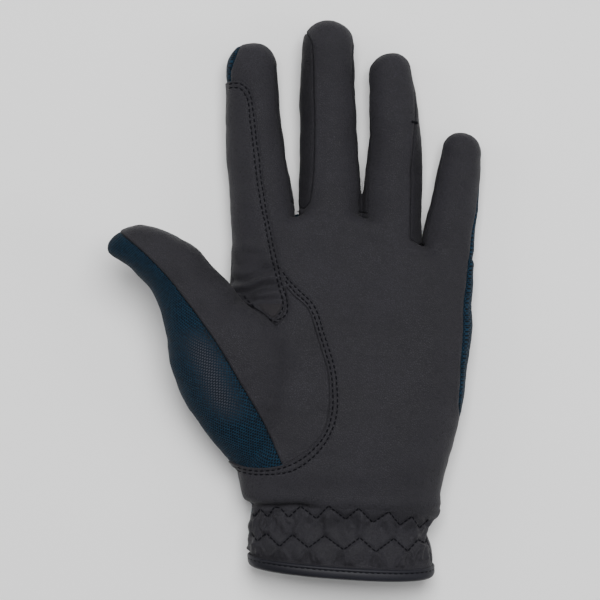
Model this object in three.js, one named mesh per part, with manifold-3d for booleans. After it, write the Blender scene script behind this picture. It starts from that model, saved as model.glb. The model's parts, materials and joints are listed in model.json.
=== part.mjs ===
// A left-hand riding glove, lying on its back with the palm up, as an assembly of its sewn pieces.
// The pieces are cut from one hollow hand-shaped skin, so they meet along its seams with a small gap.
// Units are millimetres. +X points to the little finger, +Y to the fingertips and +Z out of the palm.
// The origin lies on the surface that the glove rests on, under the middle of the palm.
import * as THREE from "three";
import { mergeVertices } from "three/addons/utils/BufferGeometryUtils.js";
import Module from "manifold-3d";

const wasm = await Module();
wasm.setup();

// Leather, fabric and sewing
const WALL = 1.3;
const SEAM_GAP = 0.3;
const PATCH_THICKNESS = 1.0;
const PATCH_WRAP = 4; // how far the patch reaches down the forefinger's side, below its middle
const FORK_TUCK = 2; // how far a side strip's bend reaches into the palm below its fork
const WRIST_OVERRUN = 4; // how far the palm's own cut runs on below the wrist line
const THUMB_MARGIN = 0.8; // how far the thumb's seam stands off its root, at the palm's side and back
const BINDING_HEIGHT = 4.6;
const BINDING_THICKNESS = 1.0;
const GATHER_DEPTH = 0.9;
const GATHER_COUNT = 12;
const FLOOR_PRESS = 1.5; // how softly the skin flattens where it meets the floor

// The palm, from the wrist line to the forks, and the cuff below it
const PALM = { width: 96, length: 110, thickness: 28, sink: 2, squareness: 2.6, middle: 0.48 };
const CUFF = { width: 73, length: 26.5, thickness: 28, sink: 2, squareness: 2.3 };
const CUFF_OVERLAP = 2.5; // how far the cuff's skin reaches into the palm
const HEM_BACK_RISE = 6; // how much shorter the cuff is at its back

// The fingers and the thumb: root as shares of the palm, lean in degrees towards +X, dome as the share of
// the length where the tip starts to round
const DIGITS = {
  index: { rootX: -0.353, rootY: 0.917, length: 82, width: 24, thickness: 20, lean: -3.2, dome: 0.875 },
  middle: { rootX: -0.08, rootY: 0.899, length: 92.5, width: 24, thickness: 20.5, lean: -0.6, dome: 0.885 },
  ring: { rootX: 0.164, rootY: 0.874, length: 82.7, width: 22, thickness: 19.5, lean: 0.7, dome: 0.9 },
  little: { rootX: 0.382, rootY: 0.809, length: 58.8, width: 20, thickness: 18.5, lean: 7, dome: 0.86 },
  thumb: { rootX: -0.328, rootY: 0.29, length: 97, width: 24, thickness: 24, lean: -41.5, dome: 0.88 },
};
const FINGER_SQUARENESS = 2.15;
const DOME_SQUARENESS = 2.2;

// Faceting, finer outside than inside
const OUTER_SIDES = { palm: 32, finger: 14, thumb: 16 };
const INNER_SIDES = { palm: 18, finger: 8, thumb: 10 };
const BINDING_SIDES = 36;
const CUFF_FRONT_SIDES = 3 * GATHER_COUNT;
const CUFF_BACK_SIDES = BINDING_SIDES / 2;
const CUFF_STEPS = 7;
const PLAIN_CUFF_STEPS = [1, 0.87, 0.73, 0.4, 0]; // shares of its length, finer under the binding
const DOME_STEPS = 3;

// Palm sections from the wrist line to the forks: lengths as shares of PALM's, split as a share of the
// section's top, and ulnar as the share of the half width where the leather ends at the little finger
const PALM_SECTIONS = [
  { along: 0, across: -0.025, half: 0.365, top: 0.93, tilt: -0.02, split: 0.488, ulnar: 1.2 },
  { along: 0.02, across: -0.032, half: 0.395, top: 1.01, tilt: -0.02, split: 0.455, ulnar: 1.2 },
  { along: 0.045, across: -0.04, half: 0.407, top: 1.05, tilt: -0.02, split: 0.45, ulnar: 1.2 },
  { along: 0.08, across: -0.042, half: 0.414, top: 1.07, tilt: -0.02, split: 0.45, ulnar: 1.2 },
  { along: 0.14, across: -0.038, half: 0.428, top: 1.09, tilt: -0.015, split: 0.45, ulnar: 1.2 },
  { along: 0.24, across: -0.025, half: 0.448, top: 1.08, tilt: -0.01, split: 0.44, ulnar: 1.1 },
  { along: 0.36, across: -0.01, half: 0.47, top: 1.05, tilt: 0, split: 0.44, ulnar: 0.975 },
  { along: 0.5, across: -0.004, half: 0.487, top: 0.99, tilt: 0, split: 0.44, ulnar: 0.94 },
  { along: 0.64, across: 0.004, half: 0.498, top: 0.93, tilt: 0, split: 0.44, ulnar: 0.925 },
  { along: 0.79, across: 0.005, half: 0.493, top: 0.86, tilt: 0, split: 0.44, ulnar: 0.935 },
  { along: 0.91, across: 0.011, half: 0.492, top: 0.8, tilt: 0, split: 0.44, ulnar: 0.95 },
  { along: 1, across: 0.014, half: 0.49, top: 0.76, tilt: 0, split: 0.44, ulnar: 0.96 },
];

// How far the line of the forks lies ahead of the palm's length, across the palm's half width
const FORK_LINE = [
  { across: -1, ahead: 0.012 },
  { across: -0.43, ahead: 0.064 },
  { across: 0.1, ahead: 0.052 },
  { across: 0.58, ahead: -0.064 },
  { across: 1, ahead: -0.13 },
];
const FORK_BLEND_START = 0.55; // the share of the palm's length where its sections start to follow it

// The hollow in the middle of the palm, between the ball of the thumb and the heel of the hand
const PALM_HOLLOW = { depth: 2.2, along: 0.55, across: 0.12, length: 0.26, width: 0.4 };

// Cuff sections from the wrist line to the hem, as shares of CUFF's sizes, and lift as a share of the room
// that the binding needs under the hem
const CUFF_SECTIONS = [
  { along: 0, across: -0.034, half: 0.495, top: 0.95, tilt: -0.07, split: 0.47, lift: 0.15 },
  { along: 0.15, across: -0.052, half: 0.489, top: 0.94, tilt: -0.07, split: 0.47, lift: 0.3 },
  { along: 0.35, across: -0.066, half: 0.483, top: 0.93, tilt: -0.07, split: 0.47, lift: 0.5 },
  { along: 0.55, across: -0.06, half: 0.493, top: 0.96, tilt: -0.07, split: 0.47, lift: 0.75 },
  { along: 0.75, across: -0.055, half: 0.493, top: 0.97, tilt: -0.07, split: 0.47, lift: 0.95 },
  { along: 1, across: -0.05, half: 0.486, top: 0.95, tilt: -0.07, split: 0.47, lift: 1 },
];

// How full the gathers are between the two stitch rows and the ends that hold them down
const GATHER_FULLNESS = [
  { along: 0, full: 0 },
  { along: 0.12, full: 0.2 },
  { along: 0.3, full: 0.8 },
  { along: 0.5, full: 0.25 },
  { along: 0.68, full: 1 },
  { along: 0.84, full: 0 },
  { along: 1, full: 0 },
];

// Digit sections from root to tip: along as a share of the length, aside and half as shares of the width,
// height as a share of the thickness, left and right as shares of the half width where the front ends.
// The thumb's own rise is a share of its thickness, and its split is the height where its leather ends.
const DIGIT_SECTIONS = {
  index: [
    { along: 0, aside: 0.025, half: 0.515, height: 0.49, left: 1.2, right: 0.9 },
    { along: 0.21, aside: 0.041, half: 0.515, height: 0.49, left: 0.83, right: 0.9 },
    { along: 0.34, aside: 0.015, half: 0.492, height: 0.475, left: 0.83, right: 0.9 },
    { along: 0.48, aside: -0.016, half: 0.467, height: 0.48, left: 0.83, right: 0.9 },
    { along: 0.63, aside: -0.03, half: 0.436, height: 0.49, left: 0.83, right: 0.9 },
    { along: 0.77, aside: -0.015, half: 0.415, height: 0.53, left: 0.81, right: 0.9 },
    { along: 0.865, aside: -0.022, half: 0.418, height: 0.57, left: 0.81, right: 0.9 },
    { along: 1, aside: 0, half: 0.418, height: 0.63, left: 0.86, right: 1 },
  ],
  middle: [
    { along: 0, aside: 0, half: 0.515, height: 0.47, left: 0.7, right: 0.92 },
    { along: 0.21, aside: -0.008, half: 0.523, height: 0.47, left: 0.68, right: 0.92 },
    { along: 0.36, aside: -0.01, half: 0.501, height: 0.455, left: 0.62, right: 0.92 },
    { along: 0.53, aside: -0.02, half: 0.47, height: 0.455, left: 0.61, right: 0.92 },
    { along: 0.7, aside: -0.028, half: 0.451, height: 0.51, left: 0.65, right: 0.92 },
    { along: 0.85, aside: -0.015, half: 0.432, height: 0.575, left: 0.67, right: 0.92 },
    { along: 1, aside: 0.015, half: 0.432, height: 0.645, left: 0.8, right: 1 },
  ],
  ring: [
    { along: 0, aside: 0, half: 0.545, height: 0.5, left: 0.85, right: 0.64 },
    { along: 0.18, aside: 0.011, half: 0.54, height: 0.487, left: 0.85, right: 0.62 },
    { along: 0.3, aside: 0.023, half: 0.537, height: 0.49, left: 0.86, right: 0.62 },
    { along: 0.46, aside: 0.047, half: 0.505, height: 0.495, left: 0.92, right: 0.61 },
    { along: 0.63, aside: 0.052, half: 0.458, height: 0.51, left: 0.96, right: 0.75 },
    { along: 0.8, aside: 0.009, half: 0.412, height: 0.555, left: 1, right: 0.96 },
    { along: 0.905, aside: -0.027, half: 0.386, height: 0.59, left: 1, right: 1 },
    { along: 1, aside: 0, half: 0.386, height: 0.65, left: 1, right: 1 },
  ],
  little: [
    { along: 0, aside: 0, half: 0.505, height: 0.46, left: 0.9, right: 0.86 },
    { along: 0.2, aside: 0.006, half: 0.505, height: 0.455, left: 0.9, right: 0.87 },
    { along: 0.37, aside: 0.006, half: 0.498, height: 0.45, left: 0.9, right: 0.9 },
    { along: 0.54, aside: 0.033, half: 0.46, height: 0.45, left: 0.9, right: 0.96 },
    { along: 0.71, aside: 0.041, half: 0.44, height: 0.49, left: 0.92, right: 1 },
    { along: 0.85, aside: 0.039, half: 0.4, height: 0.515, left: 0.95, right: 1 },
    { along: 1, aside: 0, half: 0.4, height: 0.6, left: 1, right: 1 },
  ],
  thumb: [
    { along: -0.1, aside: -0.06, half: 0.84, height: 0.62, rise: 0.4, split: 0.56 },
    { along: 0, aside: -0.05, half: 0.85, height: 0.72, rise: 0.49, split: 0.58 },
    { along: 0.187, aside: 0.183, half: 1.037, height: 0.86, rise: 0.57, split: 0.62 },
    { along: 0.324, aside: 0.178, half: 0.947, height: 0.93, rise: 0.57, split: 0.7 },
    { along: 0.442, aside: 0.215, half: 0.805, height: 1.02, rise: 0.55, split: 0.83 },
    { along: 0.55, aside: 0.367, half: 0.667, height: 1.12, rise: 0.52, split: 0.96 },
    { along: 0.648, aside: 0.465, half: 0.555, height: 1.2, rise: 0.485, split: 1.06 },
    { along: 0.737, aside: 0.523, half: 0.497, height: 1.28, rise: 0.455, split: 1.15 },
    { along: 0.815, aside: 0.47, half: 0.46, height: 1.33, rise: 0.425, split: 1.22 },
    { along: 0.88, aside: 0.39, half: 0.42, height: 1.37, rise: 0.38, split: 1.3 },
    { along: 1, aside: 0.15, half: 0.42, height: 1.41, rise: 0.38, split: 1.41 },
  ],
};
const BACK_SEAM = 0.7; // the share of a finger's half width where its back piece ends beside a side strip
const TIP_FLARE = 0.5; // how much the seams' shares grow over a fingertip, where front and back meet

// The seam around the base of the thumb, on the palm, as shares of the palm's width and length
const THUMB_HOLE = [
  { across: -0.271, along: 0.806 },
  { across: -0.205, along: 0.777 },
  { across: -0.152, along: 0.731 },
  { across: -0.115, along: 0.655 },
  { across: -0.09, along: 0.577 },
  { across: -0.07, along: 0.494 },
  { across: -0.057, along: 0.408 },
  { across: -0.057, along: 0.344 },
  { across: -0.074, along: 0.272 },
  { across: -0.111, along: 0.211 },
  { across: -0.172, along: 0.165 },
  { across: -0.246, along: 0.14 },
  { across: -0.328, along: 0.125 },
  { across: -0.41, along: 0.125 },
  { across: -0.468, along: 0.14 },
  { across: -0.554, along: 0.16 },
];
// The way back inside the thumb's own outline, which closes that seam to an area
const THUMB_HOLE_INNER = [
  { across: -0.595, along: 0.272 },
  { across: -0.451, along: 0.451 },
  { across: -0.361, along: 0.577 },
  { across: -0.291, along: 0.659 },
  { across: -0.263, along: 0.727 },
];

const THUMB_HOLE_HEIGHT = 0.46; // the lowest height of that area, as a share of the palm's thickness

// The seam between the thumb's leather and its mesh, as shares of the thumb's length and width
const MESH_SEAM = [
  { along: -0.295, aside: -0.45 },
  { along: -0.157, aside: -0.24 },
  { along: -0.039, aside: -0.118 },
  { along: 0.084, aside: 0.038 },
  { along: 0.19, aside: 0.115 },
  { along: 0.293, aside: 0.183 },
  { along: 0.429, aside: 0.277 },
  { along: 0.552, aside: 0.328 },
  { along: 0.641, aside: 0.364 },
  { along: 0.749, aside: 0.361 },
  { along: 0.832, aside: 0.351 },
  { along: 0.919, aside: 0.295 },
  { along: 1.001, aside: 0.217 },
  { along: 1.18, aside: 0 },
];

// The patch's outline as shares of the forefinger's length and width, clockwise from its tip end
const PATCH_OUTLINE = [
  { along: 0.81, aside: -0.65 },
  { along: 0.81, aside: -0.307 },
  { along: 0.798, aside: -0.161 },
  { along: 0.76, aside: -0.07 },
  { along: 0.7, aside: -0.03 },
  { along: 0.625, aside: -0.013 },
  { along: 0.48, aside: 0.025 },
  { along: 0.313, aside: 0.092 },
  { along: 0.168, aside: 0.146 },
  { along: 0.024, aside: 0.218 },
  { along: -0.12, aside: 0.305 },
  { along: -0.19, aside: 0.342 },
  { along: -0.255, aside: 0.33 },
  { along: -0.308, aside: 0.255 },
  { along: -0.346, aside: 0.148 },
  { along: -0.33, aside: -0.1 },
  { along: -0.27, aside: -0.37 },
  { along: -0.165, aside: -0.66 },
];

const FINGERS = ["index", "middle", "ring", "little"];
const WRIST_Y = -PALM.middle * PALM.length;
const CUFF_TOP = -CUFF_OVERLAP / CUFF.length;
const BINDING_REACH = SEAM_GAP + BINDING_THICKNESS;
const HALF_GAP = SEAM_GAP / 2;
const OUTSIDE = 1.5; // a share of a length or a half width that lies beyond the glove
const PAST_TIP = 1.2; // a share of a finger's length that lies beyond its tip
const FAR = 2 * PALM.length; // a height that lies beyond the glove
const SLAB_COLUMNS = 9;
const WELD = 1e-4; // points this close together are one
const UP = new THREE.Vector3(0, 0, 1);

// A smooth curve through one column of a table, read at any value of its key column
function lookup(rows, key, column, at) {
  const last = rows.length - 1;
  if (at <= rows[0][key]) return rows[0][column];
  if (at >= rows[last][key]) return rows[last][column];
  const i = rows.findIndex((row) => row[key] > at) - 1;
  const slope = (a, b) => (rows[b][column] - rows[a][column]) / (rows[b][key] - rows[a][key]);
  const before = slope(Math.max(i - 1, 0), i + 1);
  const after = slope(i, Math.min(i + 2, last));
  const span = rows[i + 1][key] - rows[i][key];
  const t = (at - rows[i][key]) / span;
  return (
    rows[i][column] * (1 + 2 * t) * (1 - t) ** 2 +
    rows[i + 1][column] * (3 - 2 * t) * t ** 2 +
    before * span * t * (1 - t) ** 2 -
    after * span * (1 - t) * t ** 2
  );
}

const palmShare = (column, along) => lookup(PALM_SECTIONS, "along", column, along);
const cuffShare = (column, along) => lookup(CUFF_SECTIONS, "along", column, along);
const digitShare = (name, column, along) => lookup(DIGIT_SECTIONS[name], "along", column, along);
const power = (value, exponent) => Math.sign(value) * Math.abs(value) ** exponent;

// Evenly spaced values from one to another, with both ends
function evenShares(from, to, count) {
  return Array.from({ length: count }, (_, i) => from + ((to - from) * i) / (count - 1));
}

// Keeps heights above the floor, with a soft bend into the flat
function pressOnFloor(height) {
  if (height > FLOOR_PRESS) return height;
  if (height < -FLOOR_PRESS) return 0;
  return (height + FLOOR_PRESS) ** 2 / (4 * FLOOR_PRESS);
}

// Even steps round an oval, with each point above paired with one below
function evenAngles(count) {
  return Array.from({ length: count }, (_, i) => ((i + 0.5) * 2 * Math.PI) / count);
}

// Fine steps round the gathered front of the cuff and coarse ones round its back
function gatheredAngles() {
  const half = (start, count) => {
    return Array.from({ length: count }, (_, i) => (start + (i + 0.5) / count) * Math.PI);
  };
  return [...half(0, CUFF_FRONT_SIDES), ...half(1, CUFF_BACK_SIDES)];
}

// One closed ring of points, placed by their shares across and up at each angle
function ovalRing(angles, squareness, place) {
  const share = (value) => power(value, 2 / squareness);
  return angles.map((angle) => place(share(Math.cos(angle)), share(Math.sin(angle)), angle));
}

function ringMiddle(ring) {
  return ring.reduce((sum, point) => sum.add(point), new THREE.Vector3()).divideScalar(ring.length);
}

// Moves a skin's rings along its normals, and its ends along the skin
function outset(skin, distance) {
  const { rings } = skin;
  const last = rings.length - 1;
  const moved = rings.map((ring, j) => {
    const below = rings[Math.max(j - 1, 0)];
    const above = rings[Math.min(j + 1, last)];
    return ring.map((point, i) => {
      const around = ring[(i + 1) % ring.length].clone().sub(ring[(i + ring.length - 1) % ring.length]);
      const normal = above[i].clone().sub(below[i]).cross(around).normalize();
      return point.clone().addScaledVector(normal, distance);
    });
  });
  const direction = (from, to) => ringMiddle(rings[to]).sub(ringMiddle(rings[from])).normalize();
  const startMove = direction(1, 0).multiplyScalar(distance);
  const endMove = direction(last - 1, last).multiplyScalar(distance);
  moved[0].forEach((point) => point.add(startMove));
  if (skin.tip) return { ...skin, rings: moved, tip: skin.tip.clone().add(endMove) };
  moved[last].forEach((point) => point.add(endMove));
  return { ...skin, rings: moved };
}

// A three.js geometry as a solid that faces out
function solidFromGeometry(geometry) {
  const bare = geometry.clone();
  bare.deleteAttribute("normal");
  bare.deleteAttribute("uv");
  const merged = mergeVertices(bare, WELD);
  const vertProperties = new Float32Array(merged.attributes.position.array);
  const triVerts = new Uint32Array(merged.index.array);
  if (signedVolume(vertProperties, triVerts) < 0) triVerts.reverse();
  return new wasm.Manifold(new wasm.Mesh({ numProp: 3, vertProperties, triVerts }));
}

function signedVolume(positions, triangles) {
  const corner = (k) => new THREE.Vector3().fromArray(positions, 3 * triangles[k]);
  let sum = 0;
  for (let k = 0; k < triangles.length; k += 3) {
    sum += corner(k).dot(corner(k + 1).cross(corner(k + 2)));
  }
  return sum / 6;
}

// A closed solid from a skin. Its ends close by a tip or a hub, or by strips between the paired points,
// and the rings of a looped skin close on themselves. A bend is a last move of each point.
function solidFromSkin({ rings, tip, hubbed, looped, bend = (point) => point }) {
  const count = rings[0].length;
  const top = (rings.length - 1) * count;
  const points = rings.flat();
  const faces = [];
  const strip = (start) => {
    const end = [];
    for (let i = 0; i + 1 < count / 2; i++) {
      const [a, b, c, d] = [i, i + 1, count - 2 - i, count - 1 - i].map((k) => start + k);
      end.push(a, b, c, a, c, d);
    }
    return end;
  };
  const fan = (start, hub) => {
    const last = points.push(hub) - 1;
    return Array.from({ length: count }, (_, i) => [start + i, start + ((i + 1) % count), last]).flat();
  };
  for (let j = 0; j < rings.length - (looped ? 0 : 1); j++) {
    const above = (j + 1) % rings.length;
    for (let i = 0; i < count; i++) {
      const next = (i + 1) % count;
      const [a, b, c, d] = [j * count + i, j * count + next, above * count + next, above * count + i];
      faces.push(a, b, c, a, c, d);
    }
  }
  if (!looped) {
    faces.push(...(hubbed ? fan(0, ringMiddle(rings[0])) : strip(0)).reverse());
    faces.push(...(tip || hubbed ? fan(top, tip ?? ringMiddle(rings.at(-1))) : strip(top)));
  }
  return solidFromGeometry(new THREE.BufferGeometry().setFromPoints(points.map(bend)).setIndex(faces));
}

const joined = (solids) => solids.reduce((sum, solid) => sum.add(solid));
const skinned = (skin, distance) => solidFromSkin(outset(skin, distance));

// A point at a section of the palm, before its height
function palmPlace(along, acrossShare) {
  const offset = acrossShare * palmShare("half", along) * PALM.width;
  const blend = THREE.MathUtils.smoothstep(along, FORK_BLEND_START, 1);
  const ahead = lookup(FORK_LINE, "across", "ahead", acrossShare) * blend;
  return new THREE.Vector3(
    palmShare("across", along) * PALM.width + offset,
    WRIST_Y + (along + ahead) * PALM.length + palmShare("tilt", along) * offset,
    0,
  );
}

function palmSkin(sides) {
  const angles = evenAngles(sides);
  const rings = PALM_SECTIONS.map(({ along, top }) => {
    const rise = (top * PALM.thickness + PALM.sink) / 2;
    const alongHollow = (along - PALM_HOLLOW.along) / PALM_HOLLOW.length;
    return ovalRing(angles, PALM.squareness, (across, up) => {
      const acrossHollow = (across - PALM_HOLLOW.across) / PALM_HOLLOW.width;
      const hollow = PALM_HOLLOW.depth * Math.exp(-(alongHollow ** 2) - acrossHollow ** 2);
      const height = rise - PALM.sink + up * rise - Math.max(up, 0) * hollow;
      return palmPlace(along, across).setZ(pressOnFloor(height));
    });
  });
  return { rings };
}

// A point at a section of the cuff, before its height
function cuffPlace(along, acrossShare) {
  const offset = acrossShare * cuffShare("half", along) * CUFF.width;
  return new THREE.Vector3(
    cuffShare("across", along) * CUFF.width + offset,
    WRIST_Y - along * CUFF.length + cuffShare("tilt", along) * offset,
    0,
  );
}

// The cuff's skin runs from the hem to a little inside the palm
function cuffSkin(alongs, angles, gatherDepth = 0) {
  const rings = alongs.map((along) => {
    const rise = (cuffShare("top", along) * CUFF.thickness + CUFF.sink) / 2;
    const lift = cuffShare("lift", along) * BINDING_REACH;
    const full = lookup(GATHER_FULLNESS, "along", "full", along);
    return ovalRing(angles, CUFF.squareness, (across, up, angle) => {
      const onFront = angle < Math.PI;
      const puff = onFront ? gatherDepth * full * Math.sin(GATHER_COUNT * angle) ** 2 : 0;
      const outward = new THREE.Vector3(across, 0, up).normalize();
      const height = lift + pressOnFloor(rise - CUFF.sink + up * rise);
      return cuffPlace(along, across).setZ(height).addScaledVector(outward, puff);
    });
  });
  return { rings, hubbed: true, bend: raiseBack };
}

// Shears the cuff so that its hem rises towards the back
function raiseBack(point) {
  const alongShare = Math.max(0, WRIST_Y - point.y) / CUFF.length;
  const backShare = 1 - point.z / CUFF.thickness;
  return point.clone().add(new THREE.Vector3(0, HEM_BACK_RISE * alongShare * backShare, 0));
}

// A point in the plane of a finger or the thumb, by shares of its length and width
function digitPlane(name, along, aside) {
  const { rootX, rootY, length, width, lean } = DIGITS[name];
  return new THREE.Vector3(aside * width, along * length, 0)
    .applyAxisAngle(UP, -THREE.MathUtils.degToRad(lean))
    .add(new THREE.Vector3(rootX * PALM.width, WRIST_Y + rootY * PALM.length, 0));
}

// The middle line of a finger or the thumb
function digitPoint(name, along) {
  const height = digitShare(name, "height", along) * DIGITS[name].thickness;
  return digitPlane(name, along, digitShare(name, "aside", along)).setZ(height);
}

// The section of a finger or the thumb at a share of its length
function digitFrame(name, along) {
  const { width, thickness, lean, dome } = DIGITS[name];
  const ahead = new THREE.Vector3(0, 1, 0).applyAxisAngle(UP, -THREE.MathUtils.degToRad(lean));
  const half = digitShare(name, "half", along);
  const rise = name === "thumb" ? digitShare(name, "rise", along) : half;
  return {
    centre: digitPoint(name, along),
    ahead,
    side: ahead.clone().cross(UP),
    half: half * width,
    rise: rise * thickness,
    tipShare: Math.max(0, (along - dome) / (1 - dome)),
  };
}

// The sections of a finger or the thumb before its tip starts to round
function bodyAlongs(name) {
  return DIGIT_SECTIONS[name].map((row) => row.along).filter((along) => along < DIGITS[name].dome);
}

function digitSkin(name, sides) {
  const { dome } = DIGITS[name];
  const angles = evenAngles(sides);
  const stations = bodyAlongs(name).map((along) => ({ along, scale: 1 }));
  for (let k = 0; k < DOME_STEPS; k++) {
    const turn = (k / DOME_STEPS) * (Math.PI / 2);
    stations.push({
      along: dome + (1 - dome) * Math.sin(turn) ** (2 / DOME_SQUARENESS),
      scale: Math.cos(turn) ** (2 / DOME_SQUARENESS),
    });
  }
  const rings = stations.map(({ along, scale }) => {
    const { centre, side, half, rise } = digitFrame(name, along);
    return ovalRing(angles, FINGER_SQUARENESS, (across, up) => {
      const point = centre.clone().addScaledVector(side, across * half * scale);
      return point.setZ(pressOnFloor(centre.z + up * rise * scale));
    });
  });
  return { rings, tip: digitPoint(name, 1) };
}

const thumbSolid = (distance, sides = OUTER_SIDES) => skinned(digitSkin("thumb", sides.thumb), distance);

// The hand without its thumb
function handSolid(distance, cuff, sides = OUTER_SIDES) {
  const skins = [palmSkin(sides.palm), cuff, ...FINGERS.map((name) => digitSkin(name, sides.finger))];
  return joined(skins.map((skin) => skinned(skin, distance)));
}

// A slab with curved sides along a piece of the glove, between two across shares and two heights
function slab(place, rows) {
  const columns = evenShares(0, 1, SLAB_COLUMNS);
  const rings = rows.map(({ along, left, right, low, high }) => {
    const shares = columns.map((t) => left + (right - left) * t);
    const lower = shares.map((across) => place(along, across).setZ(low));
    const upper = shares.map((across) => place(along, across).setZ(high)).reverse();
    return [...lower, ...upper];
  });
  return solidFromSkin({ rings });
}

// The palm's half in front of its side seam (face +1) or behind it (face -1), up to the forks
function palmSlab(face, grow) {
  const last = PALM_SECTIONS.at(-1);
  const place = (along, across) => {
    const end = along === last.along ? grow - FORK_TUCK : 0;
    return palmPlace(along, across).add(new THREE.Vector3(0, along === 0 ? -WRIST_OVERRUN : end, 0));
  };
  const rows = PALM_SECTIONS.map(({ along, split, top, half, ulnar }) => {
    const seam = split * top * PALM.thickness;
    const right = face > 0 ? ulnar + grow / (half * PALM.width) : OUTSIDE;
    const [low, high] = face > 0 ? [seam - grow, FAR] : [-FAR, seam + grow];
    return { along, left: -OUTSIDE, right, low, high };
  });
  return slab(place, rows);
}

// A finger's half in front of its seams or behind them
function fingerSlab(name, face, grow) {
  const { dome, length } = DIGITS[name];
  const rings = [...bodyAlongs(name), dome, 1, PAST_TIP].map((along) => {
    const { centre, side, ahead, half, tipShare } = digitFrame(name, Math.min(along, 1));
    const flare = TIP_FLARE * tipShare ** 2;
    const [left, right] = ["left", "right"].map((column) => {
      const share = face > 0 ? digitShare(name, column, along) : BACK_SEAM;
      return (share + flare) * half + grow;
    });
    const middle = centre.clone().addScaledVector(ahead, Math.max(along - 1, 0) * length);
    const seam = centre.z - face * grow;
    const at = (offset, height) => middle.clone().addScaledVector(side, offset).setZ(height);
    return [at(-left, seam), at(right, seam), at(right, face * FAR), at(-left, face * FAR)];
  });
  return solidFromSkin({ rings });
}

// The half of the hand in front of its seams (face +1) or behind them (face -1)
function handHalf(face, grow) {
  return joined([palmSlab(face, grow), ...FINGERS.map((name) => fingerSlab(name, face, grow))]);
}

// An outline with each corner moved out by a distance
function grownOutline(outline, distance) {
  const area = THREE.ShapeUtils.area(outline);
  return outline.map((point, i) => {
    const before = outline[(i + outline.length - 1) % outline.length];
    const after = outline[(i + 1) % outline.length];
    const [first, second] = [point.clone().sub(before), after.clone().sub(point)].map((edge) =>
      new THREE.Vector2(edge.y, -edge.x).normalize().multiplyScalar(Math.sign(area)),
    );
    const corner = first.clone().add(second);
    return point.clone().addScaledVector(corner, distance / (1 + first.dot(second)));
  });
}

// A prism over an outline in the XY plane
function prism(outline, grow, low = -FAR) {
  const shape = new THREE.Shape(grownOutline(outline, grow));
  const geometry = new THREE.ExtrudeGeometry(shape, { depth: FAR - low, bevelEnabled: false });
  return solidFromGeometry(geometry.translate(0, 0, low));
}

// The strip between the middle lines of two neighbouring fingers, from their roots to past their tips
function forkPrism(left, right, grow) {
  const line = (name) => [0, 0.5, PAST_TIP].map((along) => digitPoint(name, along));
  const outline = [...line(left), ...line(right).reverse()];
  return prism(outline.map(({ x, y }) => new THREE.Vector2(x, y)), grow);
}

// The part of the cuff in front of its side seams
function wristZone(grow) {
  const alongs = CUFF_SECTIONS.slice(1).map((row) => row.along);
  const rows = [-grow / CUFF.length, ...alongs, OUTSIDE].map((along) => {
    const lift = cuffShare("lift", along) * BINDING_REACH;
    const seam = cuffShare("split", along) * cuffShare("top", along) * CUFF.thickness + lift;
    return { along, left: -OUTSIDE, right: OUTSIDE, low: seam - grow, high: FAR };
  });
  return slab(cuffPlace, rows);
}

// All that belongs to the thumb: its own skin, and the palm inside the seam around its base
function thumbZone(grow) {
  const outline = [...THUMB_HOLE, ...THUMB_HOLE_INNER].map(
    ({ across, along }) => new THREE.Vector2(across * PALM.width, WRIST_Y + along * PALM.length),
  );
  const low = THUMB_HOLE_HEIGHT * PALM.thickness;
  return thumbSolid(THUMB_MARGIN + grow).add(prism(outline, grow, low - grow));
}

// The pad side of the thumb, to the right of its mesh seam and above its side seam
function thumbLeatherZone(grow) {
  const { width, thickness } = DIGITS.thumb;
  const rows = MESH_SEAM.map(({ along, aside }) => ({
    along,
    left: aside - grow / width,
    right: OUTSIDE * 2,
    low: digitShare("thumb", "split", along) * thickness - grow,
    high: FAR,
  }));
  return slab((along, across) => digitPlane("thumb", along, across), rows);
}

// The reinforcement over the forefinger's skin, clear of the thumb
function indexPatch(cuff) {
  const { thickness } = DIGITS.index;
  const corners = PATCH_OUTLINE.map(({ along, aside }) => digitPlane("index", along, aside));
  const outline = corners.map(({ x, y }) => new THREE.Vector2(x, y));
  const cover = prism(outline, 0, digitShare("index", "height", 0) * thickness - PATCH_WRAP);
  const layer = handSolid(SEAM_GAP + PATCH_THICKNESS, cuff).subtract(handSolid(SEAM_GAP, cuff));
  return layer.intersect(cover).subtract(thumbSolid(SEAM_GAP));
}

// A channel folded round the cuff's edge: its corners lie at a distance from the skin and past the hem
function hemBinding() {
  const angles = evenAngles(BINDING_SIDES);
  const mouth = BINDING_REACH - BINDING_HEIGHT;
  const corners = [
    { distance: BINDING_REACH, past: mouth },
    { distance: BINDING_REACH, past: BINDING_REACH },
    { distance: -WALL - BINDING_REACH, past: BINDING_REACH },
    { distance: -WALL - BINDING_REACH, past: mouth },
    { distance: -WALL - SEAM_GAP, past: mouth },
    { distance: -WALL - SEAM_GAP, past: SEAM_GAP },
    { distance: SEAM_GAP, past: SEAM_GAP },
    { distance: SEAM_GAP, past: mouth },
  ];
  const rings = corners.map(({ distance, past }) => {
    const alongs = [past + 1, past, past - 1].map((depth) => 1 + depth / CUFF.length);
    return outset(cuffSkin(alongs, angles), distance).rings[1];
  });
  return solidFromSkin({ rings, looped: true, bend: raiseBack });
}

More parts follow.
